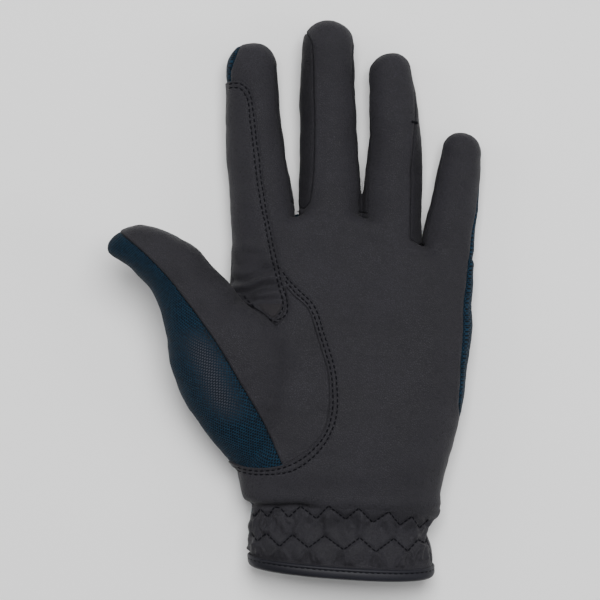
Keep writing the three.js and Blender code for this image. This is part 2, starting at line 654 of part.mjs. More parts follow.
// Cuts the hand's hollow skin into its sewn pieces
function gloveSolids() {
  const gathered = cuffSkin([...evenShares(1, 0, CUFF_STEPS), CUFF_TOP], gatheredAngles(), GATHER_DEPTH);
  const pastHem = 1 + (2 * WALL) / CUFF.length;
  const plain = cuffSkin([pastHem, ...PLAIN_CUFF_STEPS, CUFF_TOP], evenAngles(BINDING_SIDES));
  const outer = handSolid(0, gathered).add(thumbSolid(0));
  const inner = handSolid(-WALL, plain, INNER_SIDES).add(thumbSolid(-WALL, INNER_SIDES));
  const shell = outer.subtract(inner);

  const front = handHalf(1, HALF_GAP);
  const back = handHalf(-1, HALF_GAP);
  const forks = [
    ["index", "middle"],
    ["middle", "ring"],
    ["ring", "little"],
  ];
  const sideStrips = forks.map(([left, right]) => [
    `fourchette_${left}_${right}`,
    shell.intersect(forkPrism(left, right, -HALF_GAP)).subtract(front).subtract(back),
  ]);
  const forkRooms = joined(forks.map(([left, right]) => forkPrism(left, right, HALF_GAP)));
  const sideRooms = forkRooms.subtract(handHalf(-1, -HALF_GAP));
  const offThumb = shell.subtract(thumbZone(HALF_GAP)).subtract(wristZone(HALF_GAP));
  const onThumb = shell.intersect(thumbZone(-HALF_GAP));
  return {
    palm_panel: offThumb.intersect(handHalf(1, -HALF_GAP)),
    back_panel: offThumb.subtract(front).subtract(sideRooms),
    ...Object.fromEntries(sideStrips),
    thumb_leather_panel: onThumb.intersect(thumbLeatherZone(-HALF_GAP)),
    thumb_mesh_panel: onThumb.subtract(thumbLeatherZone(HALF_GAP)),
    index_patch: indexPatch(plain),
    wrist_band: shell.intersect(wristZone(-HALF_GAP)),
    hem_binding: hemBinding(),
  };
}

const LEATHER = { color: 0x343437, roughness: 0.62, metalness: 0 };
const STRIP_LEATHER = { color: 0x26262a, roughness: 0.66, metalness: 0 };
const MESH = { color: 0x163a54, roughness: 0.85, metalness: 0 };
const BINDING = { color: 0x2b2c31, roughness: 0.5, metalness: 0 };
const FINISHES = {
  palm_panel: LEATHER,
  back_panel: MESH,
  fourchette_index_middle: STRIP_LEATHER,
  fourchette_middle_ring: STRIP_LEATHER,
  fourchette_ring_little: STRIP_LEATHER,
  thumb_leather_panel: LEATHER,
  thumb_mesh_panel: MESH,
  index_patch: LEATHER,
  wrist_band: LEATHER,
  hem_binding: BINDING,
};

function meshFromSolid(name, solid) {
  const { vertProperties, triVerts } = solid.getMesh();
  const geometry = new THREE.BufferGeometry();
  geometry.setAttribute("position", new THREE.BufferAttribute(vertProperties, 3));
  geometry.setIndex(new THREE.BufferAttribute(triVerts, 1));
  geometry.computeVertexNormals();
  const mesh = new THREE.Mesh(geometry, new THREE.MeshStandardMaterial(FINISHES[name]));
  mesh.name = name;
  return mesh;
}

const glove = new THREE.Group();
for (const [name, solid] of Object.entries(gloveSolids())) {
  glove.add(meshFromSolid(name, solid));
}

export default glove;
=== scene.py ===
"""A left-hand riding glove in charcoal leather and petrol-blue mesh, lying on its back.

The glove's skin is lofted from the same tables as the CAD part, in millimetres, joined by a
voxel remesh, and cut along the seams into its sewn panels. Each panel gets its turned edges,
folds and stitches, and becomes one Blender object in metres, in the CAD part's own frame.
"""

from __future__ import annotations

import json
import logging
import math
from dataclasses import dataclass, field
from enum import Enum
from typing import Any, Callable, Sequence

import bpy
import numpy as np
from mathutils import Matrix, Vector
from mathutils.bvhtree import BVHTree
from mathutils.kdtree import KDTree

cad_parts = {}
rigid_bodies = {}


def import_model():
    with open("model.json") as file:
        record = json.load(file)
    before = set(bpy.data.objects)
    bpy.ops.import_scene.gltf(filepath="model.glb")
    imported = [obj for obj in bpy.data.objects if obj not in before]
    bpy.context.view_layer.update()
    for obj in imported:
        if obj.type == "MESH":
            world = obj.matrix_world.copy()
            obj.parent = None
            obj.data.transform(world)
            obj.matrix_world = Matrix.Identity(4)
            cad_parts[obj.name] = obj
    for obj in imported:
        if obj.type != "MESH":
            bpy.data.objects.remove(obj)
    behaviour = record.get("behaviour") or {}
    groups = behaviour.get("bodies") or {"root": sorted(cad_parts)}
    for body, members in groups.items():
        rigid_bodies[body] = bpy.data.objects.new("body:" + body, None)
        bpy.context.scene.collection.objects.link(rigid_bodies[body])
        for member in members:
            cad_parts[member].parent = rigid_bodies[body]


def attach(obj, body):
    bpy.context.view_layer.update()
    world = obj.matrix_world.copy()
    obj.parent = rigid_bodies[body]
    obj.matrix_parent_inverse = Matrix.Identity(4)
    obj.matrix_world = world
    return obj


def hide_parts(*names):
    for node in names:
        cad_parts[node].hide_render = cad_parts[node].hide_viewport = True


log = logging.getLogger("glove")
Array = np.ndarray
Material = bpy.types.Material
Socket = bpy.types.NodeSocket
LevelOf = Callable[[Array], Array]
PointsOf = Callable[[Array, Array], Array]

MILLIMETRE = 0.001
VOXEL = 0.85
LEATHER_THICKNESS = 0.9
MESH_THICKNESS = 0.8
SEAM_STEPS = (0.35, 0.8, 1.5, 2.6)
FAR = 1000.0
CHUNK = 20000
LOCATE_ROUNDS = 8
# Rings along a loft, then those of a digit's tip, then the points in each ring
PALM_RINGS = (120, 128)
CUFF_RINGS = (50, 128)
FINGER_RINGS = (70, 16, 64)
THUMB_RINGS = (90, 18, 80)
SHARP_DEGREES = 52
WRIST_Y = -52.8


# Reading the tables


@dataclass(frozen=True)
class Table:
    """Shares along a piece: the key column first, then a column for each named quantity."""

    columns: tuple[str, ...]
    rows: tuple[tuple[float, ...], ...]

    def keys(self) -> Array:
        """Return the key column."""
        return np.array([row[0] for row in self.rows])

    def at(self, column: str, where: Any) -> Array:
        """Read a smooth curve through one column.

        Args:
            column: The name of the column.
            where: One key value, or an array of them.

        Returns:
            The column's value at each of them.
        """
        keys = self.keys()
        values = np.array([row[self.columns.index(column)] for row in self.rows])
        last = len(keys) - 1
        ahead = np.minimum(np.arange(last + 1) + 1, last)
        behind = np.maximum(np.arange(last + 1) - 1, 0)
        slopes = (values[ahead] - values[behind]) / (keys[ahead] - keys[behind])
        where = np.clip(where, keys[0], keys[-1])
        i = np.clip(np.searchsorted(keys, where, side="right") - 1, 0, last - 1)
        span = keys[i + 1] - keys[i]
        t = (where - keys[i]) / span
        return (
            values[i] * (1 + 2 * t) * (1 - t) ** 2
            + values[i + 1] * (3 - 2 * t) * t**2
            + slopes[i] * span * t * (1 - t) ** 2
            - slopes[i + 1] * span * (1 - t) * t**2
        )


def smoothstep(value: Array, start: float, end: float) -> Array:
    """Return a smooth rise from 0 at the start to 1 at the end."""
    t = np.clip((value - start) / (end - start), 0, 1)
    return t * t * (3 - 2 * t)


def signed_power(value: Array, exponent: float) -> Array:
    """Return the value's size raised to a power, with its own sign."""
    return np.sign(value) * np.abs(value) ** exponent


def press_on_floor(height: Array, softness: float = 1.5) -> Array:
    """Keep heights above the floor, with a soft bend into the flat."""
    bent = (height + softness) ** 2 / (4 * softness)
    return np.where(height > softness, height, np.where(height < -softness, 0, bent))


def smooth_line(points: Sequence[tuple[float, float]], step: float = 0.8) -> Array:
    """Sample a smooth curve through points of a plane.

    Args:
        points: The points to pass through, in millimetres.
        step: The distance between samples.

    Returns:
        The samples, one row each.
    """
    knots = np.array(points, float)
    before = np.vstack([2 * knots[0] - knots[1], knots[:-1]])
    after = np.vstack([knots[1:], 2 * knots[-1] - knots[-2]])
    samples = []
    for i in range(len(knots) - 1):
        a, b = knots[i], knots[i + 1]
        ease_a, ease_b = (b - before[i]) / 2, (after[i + 1] - a) / 2
        count = max(2, math.ceil(np.linalg.norm(b - a) / step))
        t = np.arange(count)[:, None] / count
        samples.append(
            a * (1 + 2 * t) * (1 - t) ** 2
            + b * (3 - 2 * t) * t**2
            + ease_a * t * (1 - t) ** 2
            - ease_b * (1 - t) * t**2
        )
    return np.vstack([*samples, knots[-1:]])


def line_distance(points: Array, line: Array, within: float = 0.0) -> Array:
    """Measure signed distances to a line in the plane.

    Args:
        points: The points, in the plane.
        line: The line's samples.
        within: 0 for a line whose first and last pieces run on without end, or else how near the
            points are that need measuring; the others get a far distance.

    Returns:
        The distance of each point, positive on the line's left.
    """
    starts, steps = line[:-1], np.diff(line, axis=0)
    lengths = (steps**2).sum(1)
    low, high = np.zeros(len(steps)), np.ones(len(steps))
    near = np.ones(len(points), bool)
    if within:
        least, most = line.min(0) - within, line.max(0) + within
        near = ((points[:, :2] > least) & (points[:, :2] < most)).all(1)
    else:
        low[0], high[-1] = -FAR, FAR
    numbers = np.flatnonzero(near)
    result = np.full(len(points), FAR)
    for first in range(0, len(numbers), CHUNK):
        chosen = numbers[first : first + CHUNK]
        gaps = points[chosen, None, :2] - starts[None]
        t = (gaps[..., 0] * steps[:, 0] + gaps[..., 1] * steps[:, 1]) / lengths
        off = gaps - np.clip(t, low, high)[..., None] * steps[None]
        apart = off[..., 0] ** 2 + off[..., 1] ** 2
        nearest = apart.argmin(1)
        rows = np.arange(len(chosen))
        step, gap = steps[nearest], gaps[rows, nearest]
        side = np.sign(step[:, 0] * gap[:, 1] - step[:, 1] * gap[:, 0])
        result[chosen] = side * np.sqrt(apart[rows, nearest])
    return result


def area_distance(points: Array, outline: Array) -> Array:
    """Measure how deep points lie inside a closed outline in the plane.

    Args:
        points: The points, in the plane.
        outline: The outline's corners.

    Returns:
        The distance of each point to the outline, negative outside.
    """
    ring = np.vstack([outline, outline[:1]])
    starts, steps = ring[:-1], np.diff(ring, axis=0)
    lengths = np.maximum((steps**2).sum(1), 1e-9)
    result = np.empty(len(points))
    for first in range(0, len(points), CHUNK):
        some = points[first : first + CHUNK]
        gaps = some[:, None, :] - starts[None]
        t = np.clip((gaps * steps[None]).sum(2) / lengths, 0, 1)
        apart = ((gaps - t[..., None] * steps[None]) ** 2).sum(2).min(1)
        below = ring[None, :-1, 1] <= some[:, None, 1]
        above = ring[None, 1:, 1] <= some[:, None, 1]
        slope = np.where(steps[:, 1] == 0, 1e-9, steps[:, 1])
        across = starts[:, 0] + gaps[:, :, 1] * steps[:, 0] / slope
        crossings = ((below != above) & (some[:, None, 0] < across)).sum(1)
        result[first : first + CHUNK] = np.where(crossings % 2 == 1, 1, -1) * np.sqrt(apart)
    return result


def depth_near(points: Array, outline: Array, near: Array) -> Array:
    """Measure how deep some points lie inside an outline, and put all others far outside.

    Args:
        points: The points, in space.
        outline: The outline's corners, in the plane.
        near: Which points are measured.

    Returns:
        The depth of each point.
    """
    level = np.full(len(points), -FAR)
    level[near] = area_distance(points[near, :2], outline)
    return level


def waves(points: Array, length: float, seed: int, count: int = 20) -> Array:
    """Return smooth random hills with a mean of 0 and a spread of about 1.

    Args:
        points: Where to read them.
        length: The mean distance between hills.
        seed: The seed of the random draw.
        count: How many plane waves are summed.

    Returns:
        The height at each point.
    """
    rng = np.random.default_rng(seed)
    directions = rng.normal(size=(count, points.shape[1]))
    directions /= np.linalg.norm(directions, axis=1, keepdims=True)
    scales = 2 * math.pi / (length * rng.uniform(0.7, 1.5, count))
    phases = rng.uniform(0, 2 * math.pi, count)
    return np.cos(points @ (directions * scales[:, None]).T + phases).sum(1) * math.sqrt(2 / count)


def even_angles(count: int) -> Array:
    """Return even steps round an oval, with each one above paired with one below."""
    return (np.arange(count) + 0.5) * 2 * math.pi / count


def oval(angles: Array, squareness: float) -> tuple[Array, Array]:
    """Return the shares across and up of a squared oval's points."""
    power = 2 / squareness
    return signed_power(np.cos(angles), power), signed_power(np.sin(angles), power)


@dataclass(frozen=True)
class Photograph:
    """How a place in the photograph, 600 pixels square, maps to the glove's own plane."""

    scale: float = 0.394
    zero_column: float = 350.0
    zero_row: float = 372.0
    side: int = 600

    def place(self, column: float, row: float) -> tuple[float, float]:
        """Return the millimetres of one pixel."""
        return ((column - self.zero_column) * self.scale, (self.zero_row - row) * self.scale)

    def line(self, pixels: Sequence[tuple[float, float]]) -> Array:
        """Return a smooth line through pixels, in millimetres."""
        return smooth_line([self.place(*pixel) for pixel in pixels])

    def outline(self, pixels: Sequence[tuple[float, float]]) -> Array:
        """Return a straight-sided outline through pixels, in millimetres."""
        return np.array([self.place(*pixel) for pixel in pixels])


PHOTOGRAPH = Photograph()


# The hand's form


@dataclass(frozen=True)
class Palm:
    """The palm's sizes, and its sections from the wrist line to the forks of the fingers."""

    width: float = 96.0
    length: float = 110.0
    thickness: float = 28.0
    sink: float = 2.0
    squareness: float = 2.6
    blend_start: float = 0.55
    hollow_depth: float = 2.2
    hollow_along: float = 0.55
    hollow_across: float = 0.12
    hollow_length: float = 0.26
    hollow_width: float = 0.4
    fork_tuck: float = 0.4
    sections: Table = Table(("along", "across", "half", "top", "tilt", "split", "ulnar"), (
        (0.0, -0.025, 0.365, 0.93, -0.02, 0.488, 1.2),
        (0.02, -0.032, 0.395, 1.01, -0.02, 0.455, 1.2),
        (0.045, -0.04, 0.407, 1.05, -0.02, 0.45, 1.2),
        (0.08, -0.042, 0.414, 1.07, -0.02, 0.45, 1.2),
        (0.14, -0.038, 0.428, 1.09, -0.015, 0.45, 1.2),
        (0.24, -0.025, 0.448, 1.08, -0.01, 0.44, 1.1),
        (0.36, -0.01, 0.47, 1.05, 0.0, 0.44, 0.975),
        (0.5, -0.004, 0.487, 0.99, 0.0, 0.44, 0.94),
        (0.64, 0.004, 0.498, 0.93, 0.0, 0.44, 0.925),
        (0.79, 0.005, 0.493, 0.86, 0.0, 0.44, 0.935),
        (0.91, 0.011, 0.492, 0.8, 0.0, 0.44, 0.95),
        (1.0, 0.014, 0.49, 0.76, 0.0, 0.44, 0.96),
    ))
    fork_line: Table = Table(
        ("across", "ahead"),
        ((-1.0, 0.012), (-0.43, 0.064), (0.1, 0.052), (0.58, -0.064), (1.0, -0.13)),
    )

    def place(self, along: Array, share: Array) -> tuple[Array, Array]:
        """Return the place in the plane of shares along and across the palm.

        Args:
            along: Shares along.
            share: Shares across.

        Returns:
            The places.
        """
        offset = share * self.sections.at("half", along) * self.width
        ahead = self.fork_line.at("ahead", share) * smoothstep(along, self.blend_start, 1)
        x = self.sections.at("across", along) * self.width + offset
        y = WRIST_Y + (along + ahead) * self.length + self.sections.at("tilt", along) * offset
        return x, y

    def locate(self, x: Array, y: Array) -> tuple[Array, Array]:
        """Return the shares along and across the palm of places in the plane.

        Args:
            x: The places across.
            y: The places along.

        Returns:
            The two shares.
        """
        along = (y - WRIST_Y) / self.length
        share = np.zeros_like(x)
        for _ in range(LOCATE_ROUNDS):
            half = self.sections.at("half", along) * self.width
            offset = x - self.sections.at("across", along) * self.width
            share = offset / half
            ahead = self.fork_line.at("ahead", share) * smoothstep(along, self.blend_start, 1)
            tilt = self.sections.at("tilt", along) * offset
            along = (y - WRIST_Y - tilt) / self.length - ahead
        return along, share

    def rings(self, steps: int, sides: int) -> Array:
        """Return the palm's sections as rings of points.

        Args:
            steps: The number of rings.
            sides: The points in each.

        Returns:
            The rings.
        """
        along = np.linspace(0, 1, steps)[:, None]
        across, up = oval(even_angles(sides)[None], self.squareness)
        rise = (self.sections.at("top", along) * self.thickness + self.sink) / 2
        from_hollow = ((along - self.hollow_along) / self.hollow_length) ** 2
        from_hollow = from_hollow + ((across - self.hollow_across) / self.hollow_width) ** 2
        hollow = self.hollow_depth * np.exp(-from_hollow)
        height = rise - self.sink + up * rise - np.maximum(up, 0) * hollow
        x, y = self.place(along + 0 * across, across + 0 * along)
        return np.stack([x, y, press_on_floor(height)], axis=2)

    def seam_height(self, along: Array) -> Array:
        """Return the height of the side seam."""
        return self.sections.at("split", along) * self.sections.at("top", along) * self.thickness

    def half_depth(self, face: int, along: Array, share: Array, z: Array) -> Array:
        """Measure how deep points lie in the palm's front piece (face 1) or back piece (face -1).

        Args:
            face: 1 or -1.
            along: Shares along.
            share: Shares across.
            z: The heights.

        Returns:
            Each point's depth.
        """
        before_fork = (1 - along) * self.length - self.fork_tuck
        inside = np.minimum(face * (z - self.seam_height(along)), before_fork)
        if face < 0:
            return inside
        half = self.sections.at("half", along) * self.width
        return np.minimum(inside, (self.sections.at("ulnar", along) - share) * half)


@dataclass(frozen=True)
class Cuff:
    """The cuff's sizes, and its sections from the wrist line to the hem."""

    width: float = 73.0
    length: float = 26.5
    thickness: float = 28.0
    sink: float = 2.0
    squareness: float = 2.3
    overlap: float = 2.5
    back_rise: float = 6.0
    reach: float = 1.3
    lean: float = 0.075
    lean_start: float = 5.0
    past_hem: float = 1.12
    sections: Table = Table(("along", "across", "half", "top", "tilt", "split", "lift"), (
        (0.0, -0.034, 0.495, 0.95, -0.07, 0.47, 0.15),
        (0.15, -0.052, 0.489, 0.94, -0.07, 0.47, 0.3),
        (0.35, -0.066, 0.483, 0.93, -0.07, 0.47, 0.5),
        (0.55, -0.06, 0.493, 0.96, -0.07, 0.47, 0.75),
        (0.75, -0.055, 0.493, 0.97, -0.07, 0.47, 0.95),
        (1.0, -0.05, 0.486, 0.95, -0.07, 0.47, 1.0),
    ))

    def ring(self, along: float, angles: Array) -> Array:
        """Return one section as a ring of points, before the hem's rise at the back.

        Args:
            along: The section's share of the length.
            angles: The points' angles.

        Returns:
            The points.
        """
        rise = (self.sections.at("top", along) * self.thickness + self.sink) / 2
        lift = self.sections.at("lift", along) * self.reach
        across, up = oval(angles, self.squareness)
        offset = across * self.sections.at("half", along) * self.width
        x = self.sections.at("across", along) * self.width + offset
        y = WRIST_Y - along * self.length + self.sections.at("tilt", along) * offset
        return np.stack([x, y, lift + press_on_floor(rise - self.sink + up * rise)], axis=1)

    def raised(self, points: Array) -> Array:
        """Return points of the cuff with the hem's rise towards the back.

        Args:
            points: The points.

        Returns:
            The raised points.
        """
        along = np.maximum(0, WRIST_Y - points[:, 1]) / self.length
        result = points.copy()
        result[:, 1] += self.back_rise * along * (1 - points[:, 2] / self.thickness)
        return result

    def unraised(self, points: Array) -> Array:
        """Return the heights along Y of points before the hem's rise.

        Args:
            points: The points.

        Returns:
            Their heights along Y.
        """
        share = self.back_rise * (1 - points[:, 2] / self.thickness) / self.length
        below = (points[:, 1] - share * WRIST_Y) / (1 - share)
        return np.where(points[:, 1] < WRIST_Y, below, points[:, 1])

    def depth(self, points: Array) -> Array:
        """Measure how far points lie below the wrist line, along the cuff.

        Args:
            points: The points.

        Returns:
            The distances.
        """
        y = self.unraised(points)
        along = (WRIST_Y - y) / self.length
        offset = points[:, 0] - self.sections.at("across", along) * self.width
        return WRIST_Y - y + self.sections.at("tilt", along) * offset

    def seam_height(self, x: Array, depth: Array) -> Array:
        """Return the height of the cuff's side seam, which leans up towards the little finger.

        Args:
            x: The places across.
            depth: The distances below the wrist line.

        Returns:
            The heights.
        """
        along = depth / self.length
        split = self.sections.at("split", along) * self.sections.at("top", along) * self.thickness
        offset = x - self.sections.at("across", along) * self.width
        lean = self.lean * offset * smoothstep(depth, 0.0, self.lean_start)
        return split + self.sections.at("lift", along) * self.reach + lean

    def rings(self, steps: int, sides: int) -> Array:
        """Return rings from past the hem to a little inside the palm.

        Args:
            steps: The number of rings.
            sides: The points in each.

        Returns:
            The rings.
        """
        alongs = np.linspace(self.past_hem, -self.overlap / self.length, steps)
        angles = even_angles(sides)
        return np.stack([self.raised(self.ring(along, angles)) for along in alongs])


@dataclass(frozen=True)
class Digit:
    """A finger or the thumb: where it starts, its sizes, and its sections from root to tip."""

    root_x: float
    root_y: float
    length: float
    width: float
    thickness: float
    lean: float
    dome: float
    sections: Table
    squareness: float = 2.15
    dome_squareness: float = 2.2
    dome_end: float = 0.985
    back_seam: float = 0.7
    tip_flare: float = 0.5
    forks: tuple[float, float] = (0.17, 0.17)
    fork_flare: float = 0.5

    @property
    def ahead(self) -> Array:
        """Return the direction from root to tip."""
        lean = math.radians(self.lean)
        return np.array([math.sin(lean), math.cos(lean)])

    @property
    def side(self) -> Array:
        """Return the direction across, towards the little finger."""
        return np.array([self.ahead[1], -self.ahead[0]])

    @property
    def root(self) -> Array:
        """Return where it starts."""
        return np.array([self.root_x * PALM.width, WRIST_Y + self.root_y * PALM.length])

    def middle(self, along: Array) -> Array:
        """Return the middle line's points at shares of the length.

        Args:
            along: The shares.

        Returns:
            The points.
        """
        along = np.asarray(along, float)
        aside = self.sections.at("aside", along) * self.width
        plane = self.root + along[..., None] * self.length * self.ahead + aside[..., None] * self.side
        height = self.sections.at("height", along) * self.thickness
        return np.concatenate([plane, height[..., None]], axis=-1)

    def half(self, along: Array) -> Array:
        """Return the half width at shares of the length."""
        return self.sections.at("half", along) * self.width

    def rise(self, along: Array) -> Array:
        """Return the half height at shares of the length."""
        column = "rise" if "rise" in self.sections.columns else "half"
        return self.sections.at(column, along) * self.thickness

    def locate(self, points: Array) -> tuple[Array, Array]:
        """Return each point's share of the length and its distance from the middle line.

        Args:
            points: The points.

        Returns:
            The shares and the distances, positive to the right.
        """
        plane = points[:, :2] - self.root
        along = plane @ self.ahead / self.length
        return along, plane @ self.side - self.sections.at("aside", along) * self.width

    def rings(self, steps: int, dome_steps: int, sides: int) -> Array:
        """Return rings from the root to just short of the tip.

        Args:
            steps: The rings of its length.
            dome_steps: The rings of its tip.
            sides: The points in each.

        Returns:
            The rings.
        """
        first = self.sections.rows[0][0]
        body = np.linspace(first, self.dome, steps, endpoint=False)
        turn = np.linspace(0, self.dome_end, dome_steps) * math.pi / 2
        dome = self.dome + (1 - self.dome) * np.sin(turn) ** (2 / self.dome_squareness)
        scale = np.concatenate([np.ones(steps), np.cos(turn) ** (2 / self.dome_squareness)])
        along = np.concatenate([body, dome])
        across, up = oval(even_angles(sides)[None], self.squareness)
        centre = self.middle(along)
        offset = across * (self.half(along) * scale)[:, None]
        height = press_on_floor(centre[:, 2:] + up * (self.rise(along) * scale)[:, None])
        x = centre[:, :1] + offset * self.side[0]
        y = centre[:, 1:2] + offset * self.side[1]
        return np.stack([x, y, height], axis=2)

    def closing(self, along: Array, fork: float) -> Array:
        """Return how much wider the front piece is at its root, up to the fork beside it."""
        return self.fork_flare * (1 - smoothstep(along, fork - 0.02, fork + 0.07))

    def half_depth(self, face: int, points: Array) -> Array:
        """Measure how deep points lie in the finger's front (face 1) or back piece (face -1).

        Args:
            face: 1 or -1.
            points: The points.

        Returns:
            Each point's depth.
        """
        along, offset = self.locate(points)
        half = self.half(along)
        flare = self.tip_flare * np.clip((along - self.dome) / (1 - self.dome), 0, 1) ** 2
        left = right = self.back_seam + 0 * along
        if face > 0:
            left = self.sections.at("left", along) + self.closing(along, self.forks[0])
            right = self.sections.at("right", along) + self.closing(along, self.forks[1])
        height = self.sections.at("height", along) * self.thickness
        inside = np.minimum((left + flare) * half + offset, (right + flare) * half - offset)
        inside = np.minimum(inside, face * (points[:, 2] - height))
        return np.minimum(inside, along * self.length)


PALM = Palm()
CUFF = Cuff()
FINGER_COLUMNS = ("along", "aside", "half", "height", "left", "right")
INDEX = Digit(
    root_x=-0.353,
    root_y=0.917,
    length=82.0,
    width=24.0,
    thickness=20.0,
    lean=-3.2,
    dome=0.875,
    sections=Table(FINGER_COLUMNS, (
        (0.0, 0.02, 0.515, 0.49, 1.2, 0.9),
        (0.21, 0.026, 0.515, 0.49, 0.83, 0.9),
        (0.34, -0.003, 0.492, 0.475, 0.83, 0.9),
        (0.48, -0.034, 0.467, 0.48, 0.83, 0.9),
        (0.63, -0.048, 0.436, 0.49, 0.83, 0.9),
        (0.77, -0.036, 0.415, 0.53, 0.85, 0.9),
        (0.865, -0.044, 0.418, 0.57, 0.84, 0.9),
        (0.905, -0.04, 0.418, 0.588, 0.7, 0.93),
        (0.96, -0.032, 0.418, 0.612, 0.33, 0.97),
        (1.0, -0.024, 0.418, 0.63, -0.1, 1.0),
    )),
)
MIDDLE = Digit(
    root_x=-0.08,
    root_y=0.899,
    length=92.5,
    width=24.0,
    thickness=20.5,
    lean=-0.6,
    dome=0.885,
    sections=Table(FINGER_COLUMNS, (
        (0.0, 0.0, 0.515, 0.47, 0.7, 0.92),
        (0.21, -0.008, 0.523, 0.47, 0.63, 0.92),
        (0.36, -0.01, 0.501, 0.455, 0.53, 0.92),
        (0.53, -0.02, 0.47, 0.455, 0.5, 0.92),
        (0.7, -0.028, 0.451, 0.51, 0.52, 0.92),
        (0.85, -0.018, 0.432, 0.575, 0.58, 0.92),
        (1.0, 0.0, 0.432, 0.645, 0.75, 1.0),
    )),
    forks=(0.17, 0.03),
)
RING = Digit(
    root_x=0.164,
    root_y=0.874,
    length=82.7,
    width=22.0,
    thickness=19.5,
    lean=0.7,
    dome=0.9,
    sections=Table(FINGER_COLUMNS, (
        (0.0, 0.0, 0.545, 0.5, 0.85, 0.64),
        (0.18, 0.011, 0.54, 0.487, 0.85, 0.62),
        (0.3, 0.023, 0.537, 0.49, 0.86, 0.62),
        (0.46, 0.047, 0.505, 0.495, 0.92, 0.61),
        (0.63, 0.052, 0.458, 0.51, 0.96, 0.75),
        (0.8, 0.0, 0.412, 0.555, 1.0, 0.96),
        (0.905, -0.045, 0.386, 0.59, 1.0, 1.0),
        (1.0, -0.03, 0.386, 0.65, 1.0, 1.0),
    )),
    forks=(0.03, 0.05),
)
LITTLE = Digit(
    root_x=0.382,
    root_y=0.809,
    length=58.8,
    width=20.0,
    thickness=18.5,
    lean=7.0,
    dome=0.86,
    sections=Table(FINGER_COLUMNS, (
        (0.0, 0.0, 0.505, 0.46, 0.9, 0.86),
        (0.2, 0.006, 0.505, 0.455, 0.9, 0.87),
        (0.37, 0.006, 0.498, 0.45, 0.9, 0.9),
        (0.54, 0.033, 0.46, 0.45, 0.9, 0.96),
        (0.71, 0.041, 0.44, 0.49, 0.92, 1.0),
        (0.85, 0.055, 0.405, 0.515, 0.95, 1.0),
        (1.0, 0.03, 0.405, 0.6, 1.0, 1.0),
    )),
    forks=(0.17, -0.1),
)
THUMB = Digit(
    root_x=-0.328,
    root_y=0.29,
    length=97.0,
    width=24.0,
    thickness=24.0,
    lean=-41.5,
    dome=0.88,
    sections=Table(("along", "aside", "half", "height", "rise", "split"), (
        (-0.1, -0.06, 0.84, 0.62, 0.4, 0.56),
        (0.0, -0.05, 0.85, 0.72, 0.49, 0.58),
        (0.187, 0.183, 1.037, 0.86, 0.57, 0.62),
        (0.324, 0.178, 0.947, 0.93, 0.57, 0.7),
        (0.442, 0.215, 0.805, 1.02, 0.55, 0.83),
        (0.55, 0.367, 0.667, 1.12, 0.52, 0.96),
        (0.648, 0.465, 0.555, 1.2, 0.485, 1.06),
        (0.737, 0.523, 0.497, 1.28, 0.455, 1.15),
        (0.815, 0.47, 0.46, 1.33, 0.425, 1.22),
        (0.88, 0.4, 0.42, 1.37, 0.38, 1.3),
        (1.0, 0.18, 0.43, 1.41, 0.38, 1.41),
    )),
    dome_squareness=2.5,
)
FINGERS = (INDEX, MIDDLE, RING, LITTLE)


# The seams, as they run in the photograph


# The palm's own edge where it laps over the base of the thumb, from the web to the outer side
THUMB_HOLE_EDGE = (
    (284, 284), (288, 289), (292, 294), (297, 298.5), (303, 303.5), (307.5, 309), (311, 316),
    (313.5, 325), (316.5, 335), (319.5, 345), (323, 356), (326.5, 368), (328.3, 380), (328.8, 392),
    (328.8, 404), (327.5, 415), (325, 424.5), (320.5, 433.5), (314.5, 441), (308, 447.5),
    (300, 453.8), (291, 459.3), (282, 463.5), (272, 465.8), (261, 466.8), (250, 466.6), (240, 465),
    (231, 461.5),
)
# The hole's way back, over the thumb
THUMB_HOLE_RETURN = ((205, 420), (240, 372), (262, 340), (279, 322), (286, 303))
# The stitch rows beside that edge
THUMB_HOLE_INNER_ROW = (
    (284.5, 279.5), (287, 283), (290, 286.5), (293, 290), (296.5, 293.8), (300.5, 297),
    (304.5, 300.6), (308.5, 305), (311.5, 311), (314.2, 317), (316.5, 323), (318.5, 330),
    (320.5, 337), (323, 345), (325.5, 353), (328.3, 362), (330.3, 371), (331.5, 380), (332, 390),
    (332.4, 400), (331.8, 409), (330.3, 418), (328, 426), (324.5, 433.5), (319.5, 441),
    (313.5, 447.5), (306.5, 453.8), (299, 459), (290.5, 463.5), (281, 467), (271, 469),
    (261, 469.8), (252, 469.6), (244, 468.4), (236, 466),
)
THUMB_HOLE_OUTER_ROW = (
    (282, 271), (285, 275.5), (288.5, 280), (292, 283.5), (295.5, 287), (299, 290.3), (303, 294),
    (307, 297.7), (311.3, 302.3), (315, 308), (317.8, 314.5), (320, 321.5), (322, 329),
    (324.7, 337), (327.3, 345), (330, 353.5), (332.5, 362), (334.6, 371), (335.9, 380),
    (336.5, 390), (337, 400), (336.5, 410), (334.8, 419), (332, 427.5), (328, 436), (323, 444),
    (317, 451.3), (310, 458), (302, 464), (293.5, 468.7), (284, 471.5), (274, 472.8), (263, 473.4),
    (252, 473), (243, 471.4), (236, 469.4),
)
